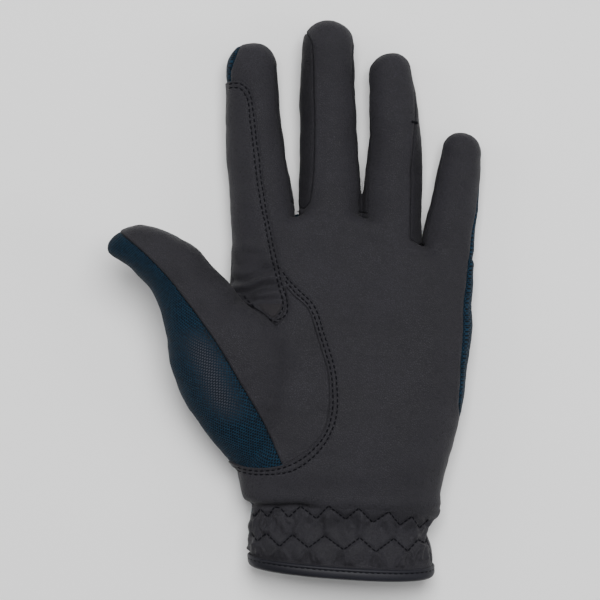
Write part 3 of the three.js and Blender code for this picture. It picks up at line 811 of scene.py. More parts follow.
# The reinforcement's stitch rows, from the forefinger's outer side to the web of the thumb
PATCH_OUTER_ROW = (
    (222, 86.5), (227, 84.5), (232, 83), (239, 83.2), (243.5, 85.7), (247.2, 89.5), (249.7, 94.5),
    (251, 100), (252, 107), (253.2, 115), (254.2, 124), (255.1, 133), (256, 142), (257.7, 152),
    (259, 161), (259.6, 170), (260.8, 181), (262.3, 190), (264, 200.5), (265.7, 212.3),
    (267.9, 222.7), (270.4, 233.6), (272.5, 244.8), (275.2, 255.8), (277.6, 266.3), (279.5, 276),
    (281.5, 284), (284, 292), (286.5, 300), (287, 307), (286, 313), (281.5, 317.5), (276, 319.5),
)
PATCH_INNER_ROW = (
    (222, 90.5), (227, 88.5), (232, 87.2), (238, 87.7), (241.7, 89.7), (244.3, 93.5), (246.8, 98.5),
    (248.2, 104.5), (249, 112), (249.8, 121), (251, 130), (252.3, 140), (253.4, 151), (254.5, 162),
    (255.8, 172), (257, 182), (258.6, 192), (260.4, 203), (262.5, 213), (264.9, 224), (266.6, 235),
    (268.9, 244.9), (271, 256), (273.5, 266), (276.1, 276), (278.2, 284.5), (280.3, 292.5),
    (282.4, 300), (282.6, 306), (281, 311), (277.5, 315),
)
STITCH_ROWS = (THUMB_HOLE_INNER_ROW, THUMB_HOLE_OUTER_ROW, PATCH_OUTER_ROW, PATCH_INNER_ROW)
PATCH_EDGE_MARGIN = 0.95
# The patch's way back: over the web and the outer side, under the thumb or beyond the outline
PATCH_RETURN = (
    (274, 327), (252, 318), (238, 305), (222, 290), (200, 285), (200, 86),
)
GUSSET = (
    (257.5, 303.6), (270, 303.2), (282, 303.4), (280.5, 309), (276.5, 314.5), (272.5, 317.5),
    (264, 311.5),
)
# The thumb's seam between its mesh, on the left, and its leather
MESH_SEAM = (
    (96, 207), (107, 218), (118, 228.5), (131, 240.7), (146, 254), (164.7, 272.8), (183.3, 296),
    (202, 321), (220.7, 348.5), (239, 380), (250, 398.5), (258, 412), (265, 425), (272, 441),
    (278, 455), (285, 469), (292, 484),
)
WRIST_ZIGZAG = (
    (249, 509), (254, 516), (260, 508), (267, 516), (274, 506), (280, 507), (288, 516), (300, 505),
    (316, 517), (328, 504), (345, 517.5), (358, 506.5), (372, 521), (388, 510), (399, 524),
    (411, 515), (418.5, 527), (428, 518),
)
HEM_ZIGZAG = (
    (251, 533), (257, 540), (266, 532), (279, 545), (292, 533), (308, 546), (324, 534), (343, 548),
    (359, 536), (375, 550), (393, 537), (407, 550), (417, 538.5), (424, 542), (430, 536),
)
# Where the thumb's ball meets the palm, all one smooth form
THUMB_BALL = ((283, 325), (293, 352), (297, 385), (290, 415))
# Where a highlight is painted on the thumb's mesh, as a paler ground and greyer yarn
THUMB_PAINTED_HIGHLIGHT = ((193, 330), (204, 356), (216, 385), (231, 420))
WEB_ROW = (
    (243, 294.5), (248, 301), (251, 303.4), (256, 308.6), (262, 313), (266, 316), (270, 318.7),
    (274, 321), (278, 322),
)
BARTACK = ((411, 121.4), (419.5, 123))


@dataclass(frozen=True)
class Crease:
    """A soft fold in the leather's front: a line of pixels, its width, and its depth in millimetres.

    A ridge has a depth below 0.
    """

    pixels: tuple[tuple[float, float], ...]
    width: float
    depth: float


def fold_from(
    start: tuple[float, float], steps: Sequence[tuple[float, float]], width: float, depth: float
) -> Crease:
    """Return a fold that runs through steps across and down from a pixel."""
    return Crease(tuple((start[0] + across, start[1] + down) for across, down in steps), width, depth)


CREASES = (
    Crease(((297, 213), (306, 215), (316, 213), (330, 216)), 1.0, 0.35),
    Crease(((352, 218), (363, 219.5), (374, 217), (388, 222)), 1.0, 0.32),
    Crease(((402, 249), (414, 252.5), (425, 253), (436, 249)), 1.0, 0.32),
    Crease(((231, 280), (240, 280), (250, 277.5), (262, 271), (272, 268)), 1.7, 1.4),
    Crease(((240, 293), (250, 291.5), (262, 286.5), (276, 285)), 1.3, 1.3),
    Crease(((238, 300), (250, 299), (264, 300), (282, 300)), 1.1, 0.8),
    Crease(((228, 262), (240, 266), (252, 265), (264, 268)), 2.6, 0.7),
    Crease(((228, 234), (238, 238), (250, 236)), 3.0, 0.4),
    Crease(((247, 503.5), (262, 504.5), (280, 504.5), (296, 504), (306, 504.5)), 0.9, 1.0),
    Crease(((235, 287), (248, 284.5), (260, 279), (272, 276.5)), 1.3, -0.9),
    Crease(((256, 297), (266, 293.5), (278, 292)), 1.2, -0.7),
    Crease(((244, 497), (262, 498), (284, 498), (306, 498)), 2.6, -0.7),
    Crease(((326, 507), (350, 507.5), (380, 508.5), (412, 510), (434, 511)), 4.3, -2.2),
)


class Panel(Enum):
    """The sewn panels that the glove's skin is cut into."""

    PALM = "palm_panel"
    BACK = "back_panel"
    STRIP_INDEX = "fourchette_index_middle"
    STRIP_MIDDLE = "fourchette_middle_ring"
    STRIP_RING = "fourchette_ring_little"
    THUMB_LEATHER = "thumb_leather_panel"
    THUMB_MESH = "thumb_mesh_panel"
    WRIST = "wrist_band"


PANELS = tuple(Panel)
STRIPS = (Panel.STRIP_INDEX, Panel.STRIP_MIDDLE, Panel.STRIP_RING)


# Meshes as arrays


def sides_of(triangles: Array) -> Array:
    """Return the triangles' sides as pairs of points: all first sides, then all second and third."""
    return np.vstack([triangles[:, [0, 1]], triangles[:, [1, 2]], triangles[:, [2, 0]]])


def edges_of(triangles: Array) -> Array:
    """Return each pair of joined points once, its lower number first."""
    return np.unique(np.sort(sides_of(triangles), axis=1), axis=0)


def crossings(level: Array, edges: Array) -> tuple[Array, Array, Array]:
    """Return the ends of each edge that the level's line of 0 crosses, and the share up to it."""
    a, b = edges[level[edges[:, 0]] * level[edges[:, 1]] < 0].T
    return a, b, level[a] / (level[a] - level[b])


@dataclass
class Skin:
    """A surface of triangles, in millimetres, with the number of each triangle's panel."""

    points: Array
    triangles: Array
    panels: Array = field(default_factory=lambda: np.zeros(0, int))

    def __post_init__(self) -> None:
        """Give each triangle a panel number."""
        if len(self.panels) != len(self.triangles):
            self.panels = np.zeros(len(self.triangles), int)

    def normals(self) -> Array:
        """Return smooth outward directions at the points.

        Returns:
            The directions.
        """
        a, b, c = (self.points[self.triangles[:, k]] for k in range(3))
        faces = np.cross(b - a, c - a)
        result = np.zeros_like(self.points)
        for k in range(3):
            np.add.at(result, self.triangles[:, k], faces)
        return result / np.maximum(np.linalg.norm(result, axis=1, keepdims=True), 1e-12)

    def of(self, *panels: Panel) -> Array:
        """Return which triangles belong to the panels."""
        return np.isin(self.panels, [PANELS.index(panel) for panel in panels])

    def relax(self, shares: Sequence[Any]) -> None:
        """Move points towards the middle of their neighbours.

        Args:
            shares: For each round, how much of the way, as one value or one for each point.
        """
        edges = edges_of(self.triangles)
        counts = np.bincount(edges.ravel(), minlength=len(self.points))[:, None]
        for share in shares:
            total = np.zeros_like(self.points)
            np.add.at(total, edges[:, 0], self.points[edges[:, 1]])
            np.add.at(total, edges[:, 1], self.points[edges[:, 0]])
            self.points += share * (total / np.maximum(counts, 1) - self.points)

    def smooth(self, rounds: int) -> None:
        """Smooth the points without shrinking the form."""
        forward, back = 0.5, -0.52
        self.relax([forward, back] * rounds)

    def cut(self, level: Array, chosen: Array | None = None) -> Array:
        """Split triangles along the line where a per-point level is 0.

        Args:
            level: The level at each point.
            chosen: Which triangles may be split, or all of them.

        Returns:
            The level at the points after the cut.
        """
        snap, nothing = 0.16, 1e-7
        level = np.where(np.abs(level) < nothing, 0.0, level)
        chosen = np.ones(len(self.triangles), bool) if chosen is None else chosen
        edges = edges_of(self.triangles[chosen])
        a, b, t = crossings(level, edges)
        for near, far, share in ((a, b, t), (b, a, 1 - t)):
            close = share < snap
            start, end = near[close], far[close]
            self.points[start] += (self.points[end] - self.points[start]) * share[close, None]
            level[start] = 0.0
        a, b, t = crossings(level, edges)
        t = t[:, None]
        count = len(self.points)
        self.points = np.vstack([self.points, self.points[a] * (1 - t) + self.points[b] * t])
        level = np.concatenate([level, np.zeros(len(a))])
        keys = a.astype(np.int64) * (count + 1) + b
        order = np.argsort(keys)
        sorted_keys = keys[order]

        def new_point(first: Array, second: Array) -> Array:
            """Return the number of each pair's new point.

            Args:
                first: One end of each pair.
                second: The other end.

            Returns:
                The numbers.
            """
            low, high = np.minimum(first, second), np.maximum(first, second)
            place = np.searchsorted(sorted_keys, low.astype(np.int64) * (count + 1) + high)
            return count + order[np.minimum(place, len(order) - 1)]

        self.split(level, chosen, new_point)
        return level

    def split(self, level: Array, chosen: Array, new_point: PointsOf) -> None:
        """Split the chosen triangles that the level's line of 0 crosses.

        Args:
            level: The level at each point.
            chosen: Which triangles may be split.
            new_point: Gives the points on crossed sides, from the sides' two ends.
        """
        s = np.sign(level)[self.triangles]
        mixed = chosen & (s.max(1) > 0) & (s.min(1) < 0)
        if not mixed.any():
            return
        kept, kept_panels = self.triangles[~mixed], self.panels[~mixed]
        split, split_panels, s = self.triangles[mixed], self.panels[mixed], s[mixed]
        made, made_panels = [kept], [kept_panels]
        zeros = (s == 0).sum(1)
        for turn in range(3):
            rolled = np.roll(split, -turn, axis=1)
            r = np.roll(s, -turn, axis=1)
            one = (zeros == 1) & (r[:, 0] == 0)
            if one.any():
                p, q, w = rolled[one].T
                m = new_point(q, w)
                made += [np.stack([p, q, m], 1), np.stack([p, m, w], 1)]
                made_panels += [split_panels[one]] * 2
            lone = (zeros == 0) & (r[:, 1] == r[:, 2]) & (r[:, 0] != r[:, 1])
            if lone.any():
                p, q, w = rolled[lone].T
                m, n = new_point(p, q), new_point(w, p)
                made += [np.stack([p, m, n], 1), np.stack([m, q, w], 1), np.stack([m, w, n], 1)]
                made_panels += [split_panels[lone]] * 3
        self.triangles, self.panels = np.vstack(made), np.concatenate(made_panels)

    def push(self, directions: Array, move: Array) -> None:
        """Move the points in given directions."""
        self.points = self.points + directions * move[:, None]

    def inside(self, level: Array) -> Array:
        """Return which triangles lie where the level is positive."""
        return level[self.triangles].sum(1) > 0

    def part(self, chosen: Array) -> tuple[Skin, Array]:
        """Return the chosen triangles as a skin of their own, and its points' old numbers.

        Args:
            chosen: Which triangles.

        Returns:
            The skin and the numbers.
        """
        numbers, inverse = np.unique(self.triangles[chosen], return_inverse=True)
        triangles = inverse.reshape(-1, 3)
        return Skin(self.points[numbers].copy(), triangles, self.panels[chosen].copy()), numbers

    def refined(self, chosen: Array) -> None:
        """Split each chosen triangle in four, and fit its neighbours to it.

        Args:
            chosen: Which triangles.
        """
        edges = edges_of(self.triangles[chosen])
        count = len(self.points)
        self.points = np.vstack([self.points, (self.points[edges[:, 0]] + self.points[edges[:, 1]]) / 2])
        keys = edges[:, 0].astype(np.int64) * count + edges[:, 1]

        def middle(first: Array, second: Array) -> Array:
            """Return the number of each edge's middle point, or -1.

            Args:
                first: One end of each edge.
                second: The other end.

            Returns:
                The numbers.
            """
            key = np.minimum(first, second).astype(np.int64) * count + np.maximum(first, second)
            place = np.minimum(np.searchsorted(keys, key), len(keys) - 1)
            return np.where(keys[place] == key, count + place, -1)

        t = self.triangles
        m = np.stack([middle(t[:, 0], t[:, 1]), middle(t[:, 1], t[:, 2]), middle(t[:, 2], t[:, 0])], 1)
        split = (m >= 0).sum(1)
        made, panels = [t[split == 0]], [self.panels[split == 0]]
        four = split == 3
        (a, b, c), (p, q, r) = t[four].T, m[four].T
        made += [np.stack(x, 1) for x in ((a, p, r), (p, b, q), (r, q, c), (p, q, r))]
        panels += [self.panels[four]] * 4
        for turn in range(3):
            tt, mm = np.roll(t, -turn, 1), np.roll(m, -turn, 1)
            one = (split == 1) & (mm[:, 0] >= 0)
            (a, b, c), p = tt[one].T, mm[one, 0]
            made += [np.stack([a, p, c], 1), np.stack([p, b, c], 1)]
            panels += [self.panels[one]] * 2
            two = (split == 2) & (mm[:, 2] < 0)
            (a, b, c), (p, q) = tt[two].T, mm[two, :2].T
            made += [np.stack(x, 1) for x in ((a, p, c), (p, q, c), (p, b, q))]
            panels += [self.panels[two]] * 3
        self.triangles, self.panels = np.vstack(made), np.concatenate(panels)

    def facing_out(self) -> Skin:
        """Turn a closed surface so that it faces out, and return it.

        Returns:
            This surface.
        """
        a, b, c = (self.points[self.triangles[:, k]] for k in range(3))
        if (a * np.cross(b, c)).sum() < 0:
            self.triangles = self.triangles[:, ::-1].copy()
        return self

    def thickened(self, directions: Array, thickness: float) -> Skin:
        """Return a closed sheet: this surface, its inner side, and a wall along its open edges.

        Args:
            directions: The ways out at its points.
            thickness: The sheet's thickness.

        Returns:
            The sheet.
        """
        above_floor = 0.02
        count = len(self.points)
        pairs = sides_of(self.triangles)
        keys = np.sort(pairs, axis=1)
        _, inverse, counts = np.unique(keys, axis=0, return_inverse=True, return_counts=True)
        rim = pairs[counts[inverse.ravel()] == 1]
        inner = self.points - directions * thickness
        inner[:, 2] = np.maximum(inner[:, 2], above_floor)
        walls = np.vstack([
            np.stack([rim[:, 1], rim[:, 0], rim[:, 0] + count], 1),
            np.stack([rim[:, 1], rim[:, 0] + count, rim[:, 1] + count], 1),
        ])
        triangles = np.vstack([self.triangles, self.triangles[:, ::-1] + count, walls])
        return Skin(np.vstack([self.points, inner]), triangles)


def ring_triangles(rows: int, sides: int, looped: bool = False) -> Array:
    """Return the triangles between rings of points.

    Args:
        rows: How many rings there are.
        sides: How many points each has.
        looped: Whether the last ring joins the first.

    Returns:
        The triangles' point numbers.
    """
    j = np.arange(rows if looped else rows - 1)[:, None]
    i = np.arange(sides)[None]
    a, b = j * sides + i, j * sides + (i + 1) % sides
    c, d = (j + 1) % rows * sides + (i + 1) % sides, (j + 1) % rows * sides + i
    return np.vstack([np.stack([a, b, c], 2).reshape(-1, 3), np.stack([a, c, d], 2).reshape(-1, 3)])


def closed_loft(rings: Array) -> Skin:
    """Return a closed surface through rings, with a fan at each end.

    Args:
        rings: The rings of points.

    Returns:
        The surface.
    """
    rows, sides, _ = rings.shape
    points = np.vstack([rings.reshape(-1, 3), rings[0].mean(0), rings[-1].mean(0)])
    i = np.arange(sides)
    start = np.stack([(i + 1) % sides, i, np.full(sides, rows * sides)], 1)
    top = (rows - 1) * sides
    end = np.stack([top + i, top + (i + 1) % sides, np.full(sides, rows * sides + 1)], 1)
    return Skin(points, np.vstack([ring_triangles(rows, sides), start, end])).facing_out()


def joined(skins: Sequence[Skin]) -> Skin:
    """Return several surfaces as one.

    Args:
        skins: The surfaces.

    Returns:
        The one surface.
    """
    offsets = np.cumsum([0, *[len(skin.points) for skin in skins]])
    points = np.vstack([skin.points for skin in skins])
    triangles = np.vstack([skin.triangles + offset for skin, offset in zip(skins, offsets)])
    return Skin(points, triangles)


def mesh_object(name: str, skin: Skin, unit: float = MILLIMETRE) -> bpy.types.Object:
    """Return a Blender object of a skin, at the origin.

    Args:
        name: Its name.
        skin: Its surface.
        unit: The skin's unit in metres.

    Returns:
        The object.
    """
    mesh = bpy.data.meshes.new(name)
    mesh.vertices.add(len(skin.points))
    mesh.vertices.foreach_set("co", (skin.points * unit).astype(np.float32).ravel())
    mesh.loops.add(skin.triangles.size)
    mesh.loops.foreach_set("vertex_index", skin.triangles.astype(np.int32).ravel())
    mesh.polygons.add(len(skin.triangles))
    mesh.polygons.foreach_set("loop_start", np.arange(0, skin.triangles.size, 3, dtype=np.int32))
    mesh.polygons.foreach_set("use_smooth", np.ones(len(skin.triangles), bool))
    mesh.update(calc_edges=True)
    mesh.validate()
    made = bpy.data.objects.new(name, mesh)
    bpy.context.scene.collection.objects.link(made)
    return made


def remeshed(skin: Skin, voxel: float) -> Skin:
    """Return the outer surface of overlapping closed surfaces, in even steps.

    Args:
        skin: The overlapping surfaces.
        voxel: The step.

    Returns:
        Their outer surface.
    """
    made = mesh_object("skin_mould", skin, unit=1.0)
    modifier = made.modifiers.new("union", "REMESH")
    modifier.mode = "VOXEL"
    modifier.voxel_size = voxel
    modifier.adaptivity = 0.0
    evaluated = made.evaluated_get(bpy.context.evaluated_depsgraph_get())
    mesh = evaluated.to_mesh()
    points = np.empty(len(mesh.vertices) * 3, np.float32)
    mesh.vertices.foreach_get("co", points)
    mesh.calc_loop_triangles()
    triangles = np.empty(len(mesh.loop_triangles) * 3, np.int32)
    mesh.loop_triangles.foreach_get("vertices", triangles)
    evaluated.to_mesh_clear()
    bpy.data.objects.remove(made)
    return Skin(points.reshape(-1, 3).astype(float), triangles.reshape(-1, 3).astype(np.int64))


def nearest_points(targets: Array, points: Array) -> tuple[Array, Array]:
    """Return each point's distance to the nearest target, and that target's number.

    Args:
        targets: The targets.
        points: The points.

    Returns:
        The distances and the numbers.
    """
    tree = KDTree(len(targets))
    for number, target in enumerate(targets):
        tree.insert(target, number)
    tree.balance()
    found = [tree.find(point) for point in points]
    return np.array([hit[2] for hit in found]), np.array([hit[1] for hit in found])


def surface_depth(solid: Skin, points: Array) -> Array:
    """Measure how deep points lie under a closed surface, negative outside it.

    Args:
        solid: The closed surface.
        points: The points.

    Returns:
        Each point's depth.
    """
    tree = BVHTree.FromPolygons(solid.points.tolist(), solid.triangles.tolist())
    result = np.full(len(points), -FAR)
    for number, point in enumerate(points):
        place, normal, _, distance = tree.find_nearest(Vector(point))
        if place is not None:
            result[number] = -math.copysign(distance, (Vector(point) - place).dot(normal))
    return result


# Cutting the skin into its panels


@dataclass
class HandSkin:
    """The whole hand's skin, cut along its seams."""

    voxel: float = VOXEL
    thumb_margin: float = 0.8
    thumb_hole_height: float = 0.46
    thumb_seam_x: float = -41.6
    prism_reach: float = 1.2
    gap_margin: float = 0.8
    rounds_before: int = 6
    rounds_after: int = 2
    roots_along: float = 0.99
    roots_reach: float = 6.0
    roots_rounds: float = 22.0
    roots_heights: tuple[float, float] = (13.0, 17.0)
    ball_reach: float = 6.0
    ball_heights: tuple[float, float] = (12.0, 18.0)

    def mould(self) -> Skin:
        """Loft the hand's parts and join them.

        Returns:
            The hand's whole surface. The lofts are made thinner for the join and the surface is
            moved back out after it, so that narrow gaps between the fingers stay open.
        """
        palm, cuff = closed_loft(PALM.rings(*PALM_RINGS)), closed_loft(CUFF.rings(*CUFF_RINGS))
        fingers = [closed_loft(finger.rings(*FINGER_RINGS)) for finger in FINGERS]
        self.thumb = closed_loft(THUMB.rings(*THUMB_RINGS))
        shrink = self.gap_margin * self.voxel
        lofts = (palm, cuff, *fingers, self.thumb)
        thin = [Skin(loft.points - shrink * loft.normals(), loft.triangles) for loft in lofts]
        thin[0].points[:, 1] = palm.points[:, 1]
        skin = remeshed(joined(thin), self.voxel)
        skin.smooth(self.rounds_before)
        skin.points += shrink * skin.normals()
        skin.smooth(self.rounds_after)
        return skin

    def soften(self, skin: Skin) -> None:
        """Round the skin at the fingers' roots and round the ball of the thumb.

        Args:
            skin: The skin.
        """
        along, _ = PALM.locate(skin.points[:, 0], skin.points[:, 1])
        roots = np.exp(-(((along - self.roots_along) * PALM.length / self.roots_reach) ** 2))
        roots *= smoothstep(skin.points[:, 2], *self.roots_heights)
        rounds = round(self.roots_rounds / self.voxel**2)
        skin.relax([roots[:, None]] * rounds)
        beside = line_distance(skin.points, PHOTOGRAPH.line(THUMB_BALL), within=20.0)
        ball = np.exp(-((beside / self.ball_reach) ** 2))
        ball *= smoothstep(skin.points[:, 2], *self.ball_heights)
        skin.relax([ball[:, None]] * (2 * rounds))

    def build(self) -> Skin:
        """Make the skin and cut it into its panels.

        Returns:
            The skin, with each triangle's panel.
        """
        skin = self.mould()
        self.soften(skin)
        log.info("skin: %d points", len(skin.points))
        level = skin.cut(CUFF.length - CUFF.depth(skin.points))
        skin, _ = skin.part(skin.inside(level))
        skin.panels[:] = PANELS.index(Panel.BACK)
        self.cut_panel(skin, self.wrist_level, Panel.WRIST, None)
        self.cut_panel(skin, self.thumb_level, Panel.THUMB_MESH, Panel.BACK)
        self.cut_panel(skin, self.thumb_leather_level, Panel.THUMB_LEATHER, Panel.THUMB_MESH)
        self.cut_panel(skin, lambda points: self.half_level(1, points), Panel.PALM, Panel.BACK)
        for strip, left, right in zip(STRIPS, FINGERS, FINGERS[1:]):
            self.cut_panel(skin, lambda p, a=left, b=right: self.strip_level(p, a, b), strip, Panel.BACK)
        return skin

    def cut_panel(self, skin: Skin, level_of: LevelOf, panel: Panel, source: Panel | None) -> None:
        """Cut a panel out where a level is positive.

        Args:
            skin: The hand's skin.
            level_of: Gives each point's level.
            panel: The panel that is cut out.
            source: The panel that it is cut from, or None for all.
        """
        level = skin.cut(level_of(skin.points), None if source is None else skin.of(source))
        taken = skin.inside(level)
        if source is not None:
            taken &= skin.of(source)
        skin.panels[taken] = PANELS.index(panel)

    @staticmethod
    def wrist_level(points: Array) -> Array:
        """Measure how deep points lie in the cuff's front."""
        depth = CUFF.depth(points)
        return np.minimum(depth, points[:, 2] - CUFF.seam_height(points[:, 0], depth))

    def thumb_level(self, points: Array) -> Array:
        """Measure how deep points lie in the thumb's own pieces.

        Args:
            points: The points.

        Returns:
            Each point's depth, below 0 outside.
        """
        near = points[:, 0] < 0
        by_skin = np.full(len(points), -FAR)
        by_skin[near] = surface_depth(self.thumb, points[near]) + self.thumb_margin
        edge = PHOTOGRAPH.line(THUMB_HOLE_EDGE)
        way_back = PHOTOGRAPH.outline(THUMB_HOLE_RETURN)
        low = self.thumb_hole_height * PALM.thickness
        hole = depth_near(points, np.vstack([edge, way_back]), near)
        by_hole = np.minimum(hole, points[:, 2] - low)
        beside = -line_distance(points[:, :2], edge)
        under = self.thumb_seam_x - points[:, 0]
        limit = np.where(points[:, 2] > low, beside, under)
        return np.minimum(np.maximum(by_skin, by_hole), limit)

    @staticmethod
    def thumb_leather_level(points: Array) -> Array:
        """Measure how deep points lie on the pad's side of the thumb's seams.

        Args:
            points: The points.

        Returns:
            Each point's depth, below 0 outside.
        """
        seam = PHOTOGRAPH.line(MESH_SEAM)
        along, _ = THUMB.locate(points)
        low = THUMB.sections.at("split", along) * THUMB.thickness
        return np.minimum(line_distance(points[:, :2], seam), points[:, 2] - low)

    @staticmethod
    def half_level(face: int, points: Array) -> Array:
        """Measure how deep points lie in the hand's front or back.

        Args:
            face: 1 for the front, -1 for the back.
            points: The points.

        Returns:
            Each point's depth, below 0 outside.
        """
        along, share = PALM.locate(points[:, 0], points[:, 1])
        palm = PALM.half_depth(face, along, share, points[:, 2])
        return np.maximum.reduce([palm, *[finger.half_depth(face, points) for finger in FINGERS]])

    def strip_level(self, points: Array, left: Digit, right: Digit) -> Array:
        """Measure how deep points lie in the strip between two fingers.

        Args:
            points: The points.
            left: The finger at the left.
            right: The finger at the right.

        Returns:
            Each point's depth, below 0 outside.
        """
        alongs = np.array([0, 0.5, self.prism_reach])
        outline = np.vstack([left.middle(alongs)[:, :2], right.middle(alongs)[::-1, :2]])
        return np.minimum(area_distance(points[:, :2], outline), -self.half_level(-1, points))


# Relief: turned edges, folds and stitch rows


@dataclass(frozen=True)
class EdgeShape:
    """How a panel's edge turns into its seam, in millimetres.

    It drops and rounds at the edge, has a low lip beside it, and is lifted as far as its reach.
    """

    drop: float = 0.75
    radius: float = 0.9
    lip: float = 0.1
    lift: float = 0.0
    reach: float = 3.0

    def offset(self, distance: Array) -> Array:
        """Return the move out of the surface at distances from the seam.

        Args:
            distance: The distances.

        Returns:
            The moves.
        """
        inward = np.clip(1 - distance / self.radius, 0, 1)
        rolled = -self.drop * (1 - np.sqrt(1 - inward**2))
        bulge = self.lip * np.exp(-(((distance - 1.9 * self.radius) / (0.9 * self.radius)) ** 2))
        return rolled + bulge + self.lift * (1 - smoothstep(distance, 0.35 * self.reach, self.reach))


SEWN = EdgeShape()
EDGES = {
    (Panel.PALM, Panel.THUMB_LEATHER): EdgeShape(0.35, 0.45, 0.0, 0.3, 6.5),
    (Panel.PALM, Panel.THUMB_MESH): EdgeShape(0.35, 0.45, 0.0, 0.3, 6.5),
    (Panel.THUMB_LEATHER, Panel.PALM): EdgeShape(0.12, 0.5, 0.0, -0.3, 3.2),
    (Panel.THUMB_MESH, Panel.PALM): EdgeShape(0.12, 0.5, 0.0, -0.3, 3.2),
    (Panel.THUMB_LEATHER, Panel.THUMB_MESH): EdgeShape(0.5, 0.6, 0.12, 0.15, 2.5),
    (Panel.THUMB_MESH, Panel.THUMB_LEATHER): EdgeShape(0.75, 0.9, 0.0, -0.1, 2.5),
    (Panel.PALM, Panel.WRIST): EdgeShape(0.0, 0.4, 0.0),
    (Panel.WRIST, Panel.PALM): EdgeShape(0.0, 0.4, 0.0),
}


@dataclass
class Relief:
    """Moves points of the skin out or in, for its folds, stitch rows and unevenness."""

    row_width: float = 0.6
    row_depth: float = 0.42
    uneven: float = 0.16
    hills: tuple[float, float] = (17.0, 6.5)
    seeds: tuple[int, int] = (3, 5)
    fine_share: float = 0.3

    def __post_init__(self) -> None:
        """Measure out the rows and the folds."""
        self.rows = [PHOTOGRAPH.line(row) for row in STITCH_ROWS]
        self.folds = [(PHOTOGRAPH.line(fold.pixels), fold) for fold in CREASES]

    def offset(self, points: Array, facing: Array) -> Array:
        """Return the move out of the surface at points of the front.

        Args:
            points: The points.
            facing: How much each one's surface faces up, from -1 to 1.

        Returns:
            The move at each point.
        """
        front = smoothstep(facing, -0.1, 0.25)
        broad, fine = (waves(points, *hill) for hill in zip(self.hills, self.seeds))
        move = self.uneven * broad + self.fine_share * self.uneven * fine
        plane = points[:, :2]
        for line, fold in self.folds:
            apart = line_distance(plane, line, within=3 * fold.width)
            move -= front * fold.depth * np.exp(-((apart / fold.width) ** 2))
        for line in self.rows:
            apart = line_distance(plane, line, within=3 * self.row_width)
            move -= front * self.row_depth * np.exp(-((apart / self.row_width) ** 2))
        return move


@dataclass
class Gathers:
    """The elasticated wrist's small folds, held down by two zigzag rows."""

    depth: float = 0.3
    across: float = 3.4
    down: float = 12.0
    spacing: float = 1.6
    seed: int = 11
    hills: int = 26
    row_depth: float = 0.5
    row_width: float = 0.75
    fade_in: tuple[float, float] = (1.0, 5.0)
    fade_out: tuple[float, float] = (5.5, 3.5)

    def folds(self) -> list[Crease]:
        """Return the folds between and under the rows, and the fine gathers at the outer end.

        Returns:
            The folds. Each runs through steps across and down from a low corner of a zigzag.
        """
        folds = []
        tops = HEM_ZIGZAG[::2]
        for number, (x, y) in enumerate(WRIST_ZIGZAG[1::2]):
            end = min(tops, key=lambda top: abs(top[0] - x))
            lean = 3 if number % 2 else -2
            to_end = (0.6 * (end[0] - x), end[1] - 3 - y)
            folds.append(fold_from((x, y), ((1, 3), (lean, 9), to_end), 1.2, -1.0))
            folds.append(fold_from((x, y), ((7, -2), (8 + lean, 8), (9, 14)), 0.7, -0.6))
            folds.append(fold_from((x, y), ((-6, -1), (-5 - lean, 9), (-6, 16)), 0.8, 0.5))
        for number, corner in enumerate(HEM_ZIGZAG[1::2]):
            for spread in (-10, -4, 3, 9):
                shift = spread + (number * 7 % 5 - 2)
                steps = ((0.3 * shift, 3), (0.8 * shift, 9), (shift, 15))
                folds.append(fold_from(corner, steps, 0.7, -0.7 - 0.1 * ((number + spread) % 3)))
        outer_x, spacing = 250, 3.6
        for step in range(6):
            start = (outer_x + spacing * step, 512)
            folds.append(fold_from(start, ((5, 0), (1, 12), (-1, 24)), 0.55, 0.6))
        return folds

    def offset(self, points: Array, below: Array) -> Array:
        """Return the move out of the surface at points of the wrist.

        Args:
            points: The points.
            below: How far each lies below the wrist line.

        Returns:
            The move at each point.
        """
        scales = (self.across, self.down, self.across)
        move = self.depth * waves(points / np.array(scales), self.spacing, self.seed, self.hills)
        for fold in self.folds():
            apart = line_distance(points, PHOTOGRAPH.line(fold.pixels), within=3 * fold.width)
            move -= fold.depth * np.exp(-((apart / fold.width) ** 2))
        to_hem = CUFF.length - np.array(self.fade_out)
        move *= smoothstep(below, *self.fade_in) * (1 - smoothstep(below, *to_hem))
        for row in (WRIST_ZIGZAG, HEM_ZIGZAG):
            apart = line_distance(points, PHOTOGRAPH.outline(row), within=3.0)
            move -= self.row_depth * np.exp(-((apart / self.row_width) ** 2))
        return move


# Finishes


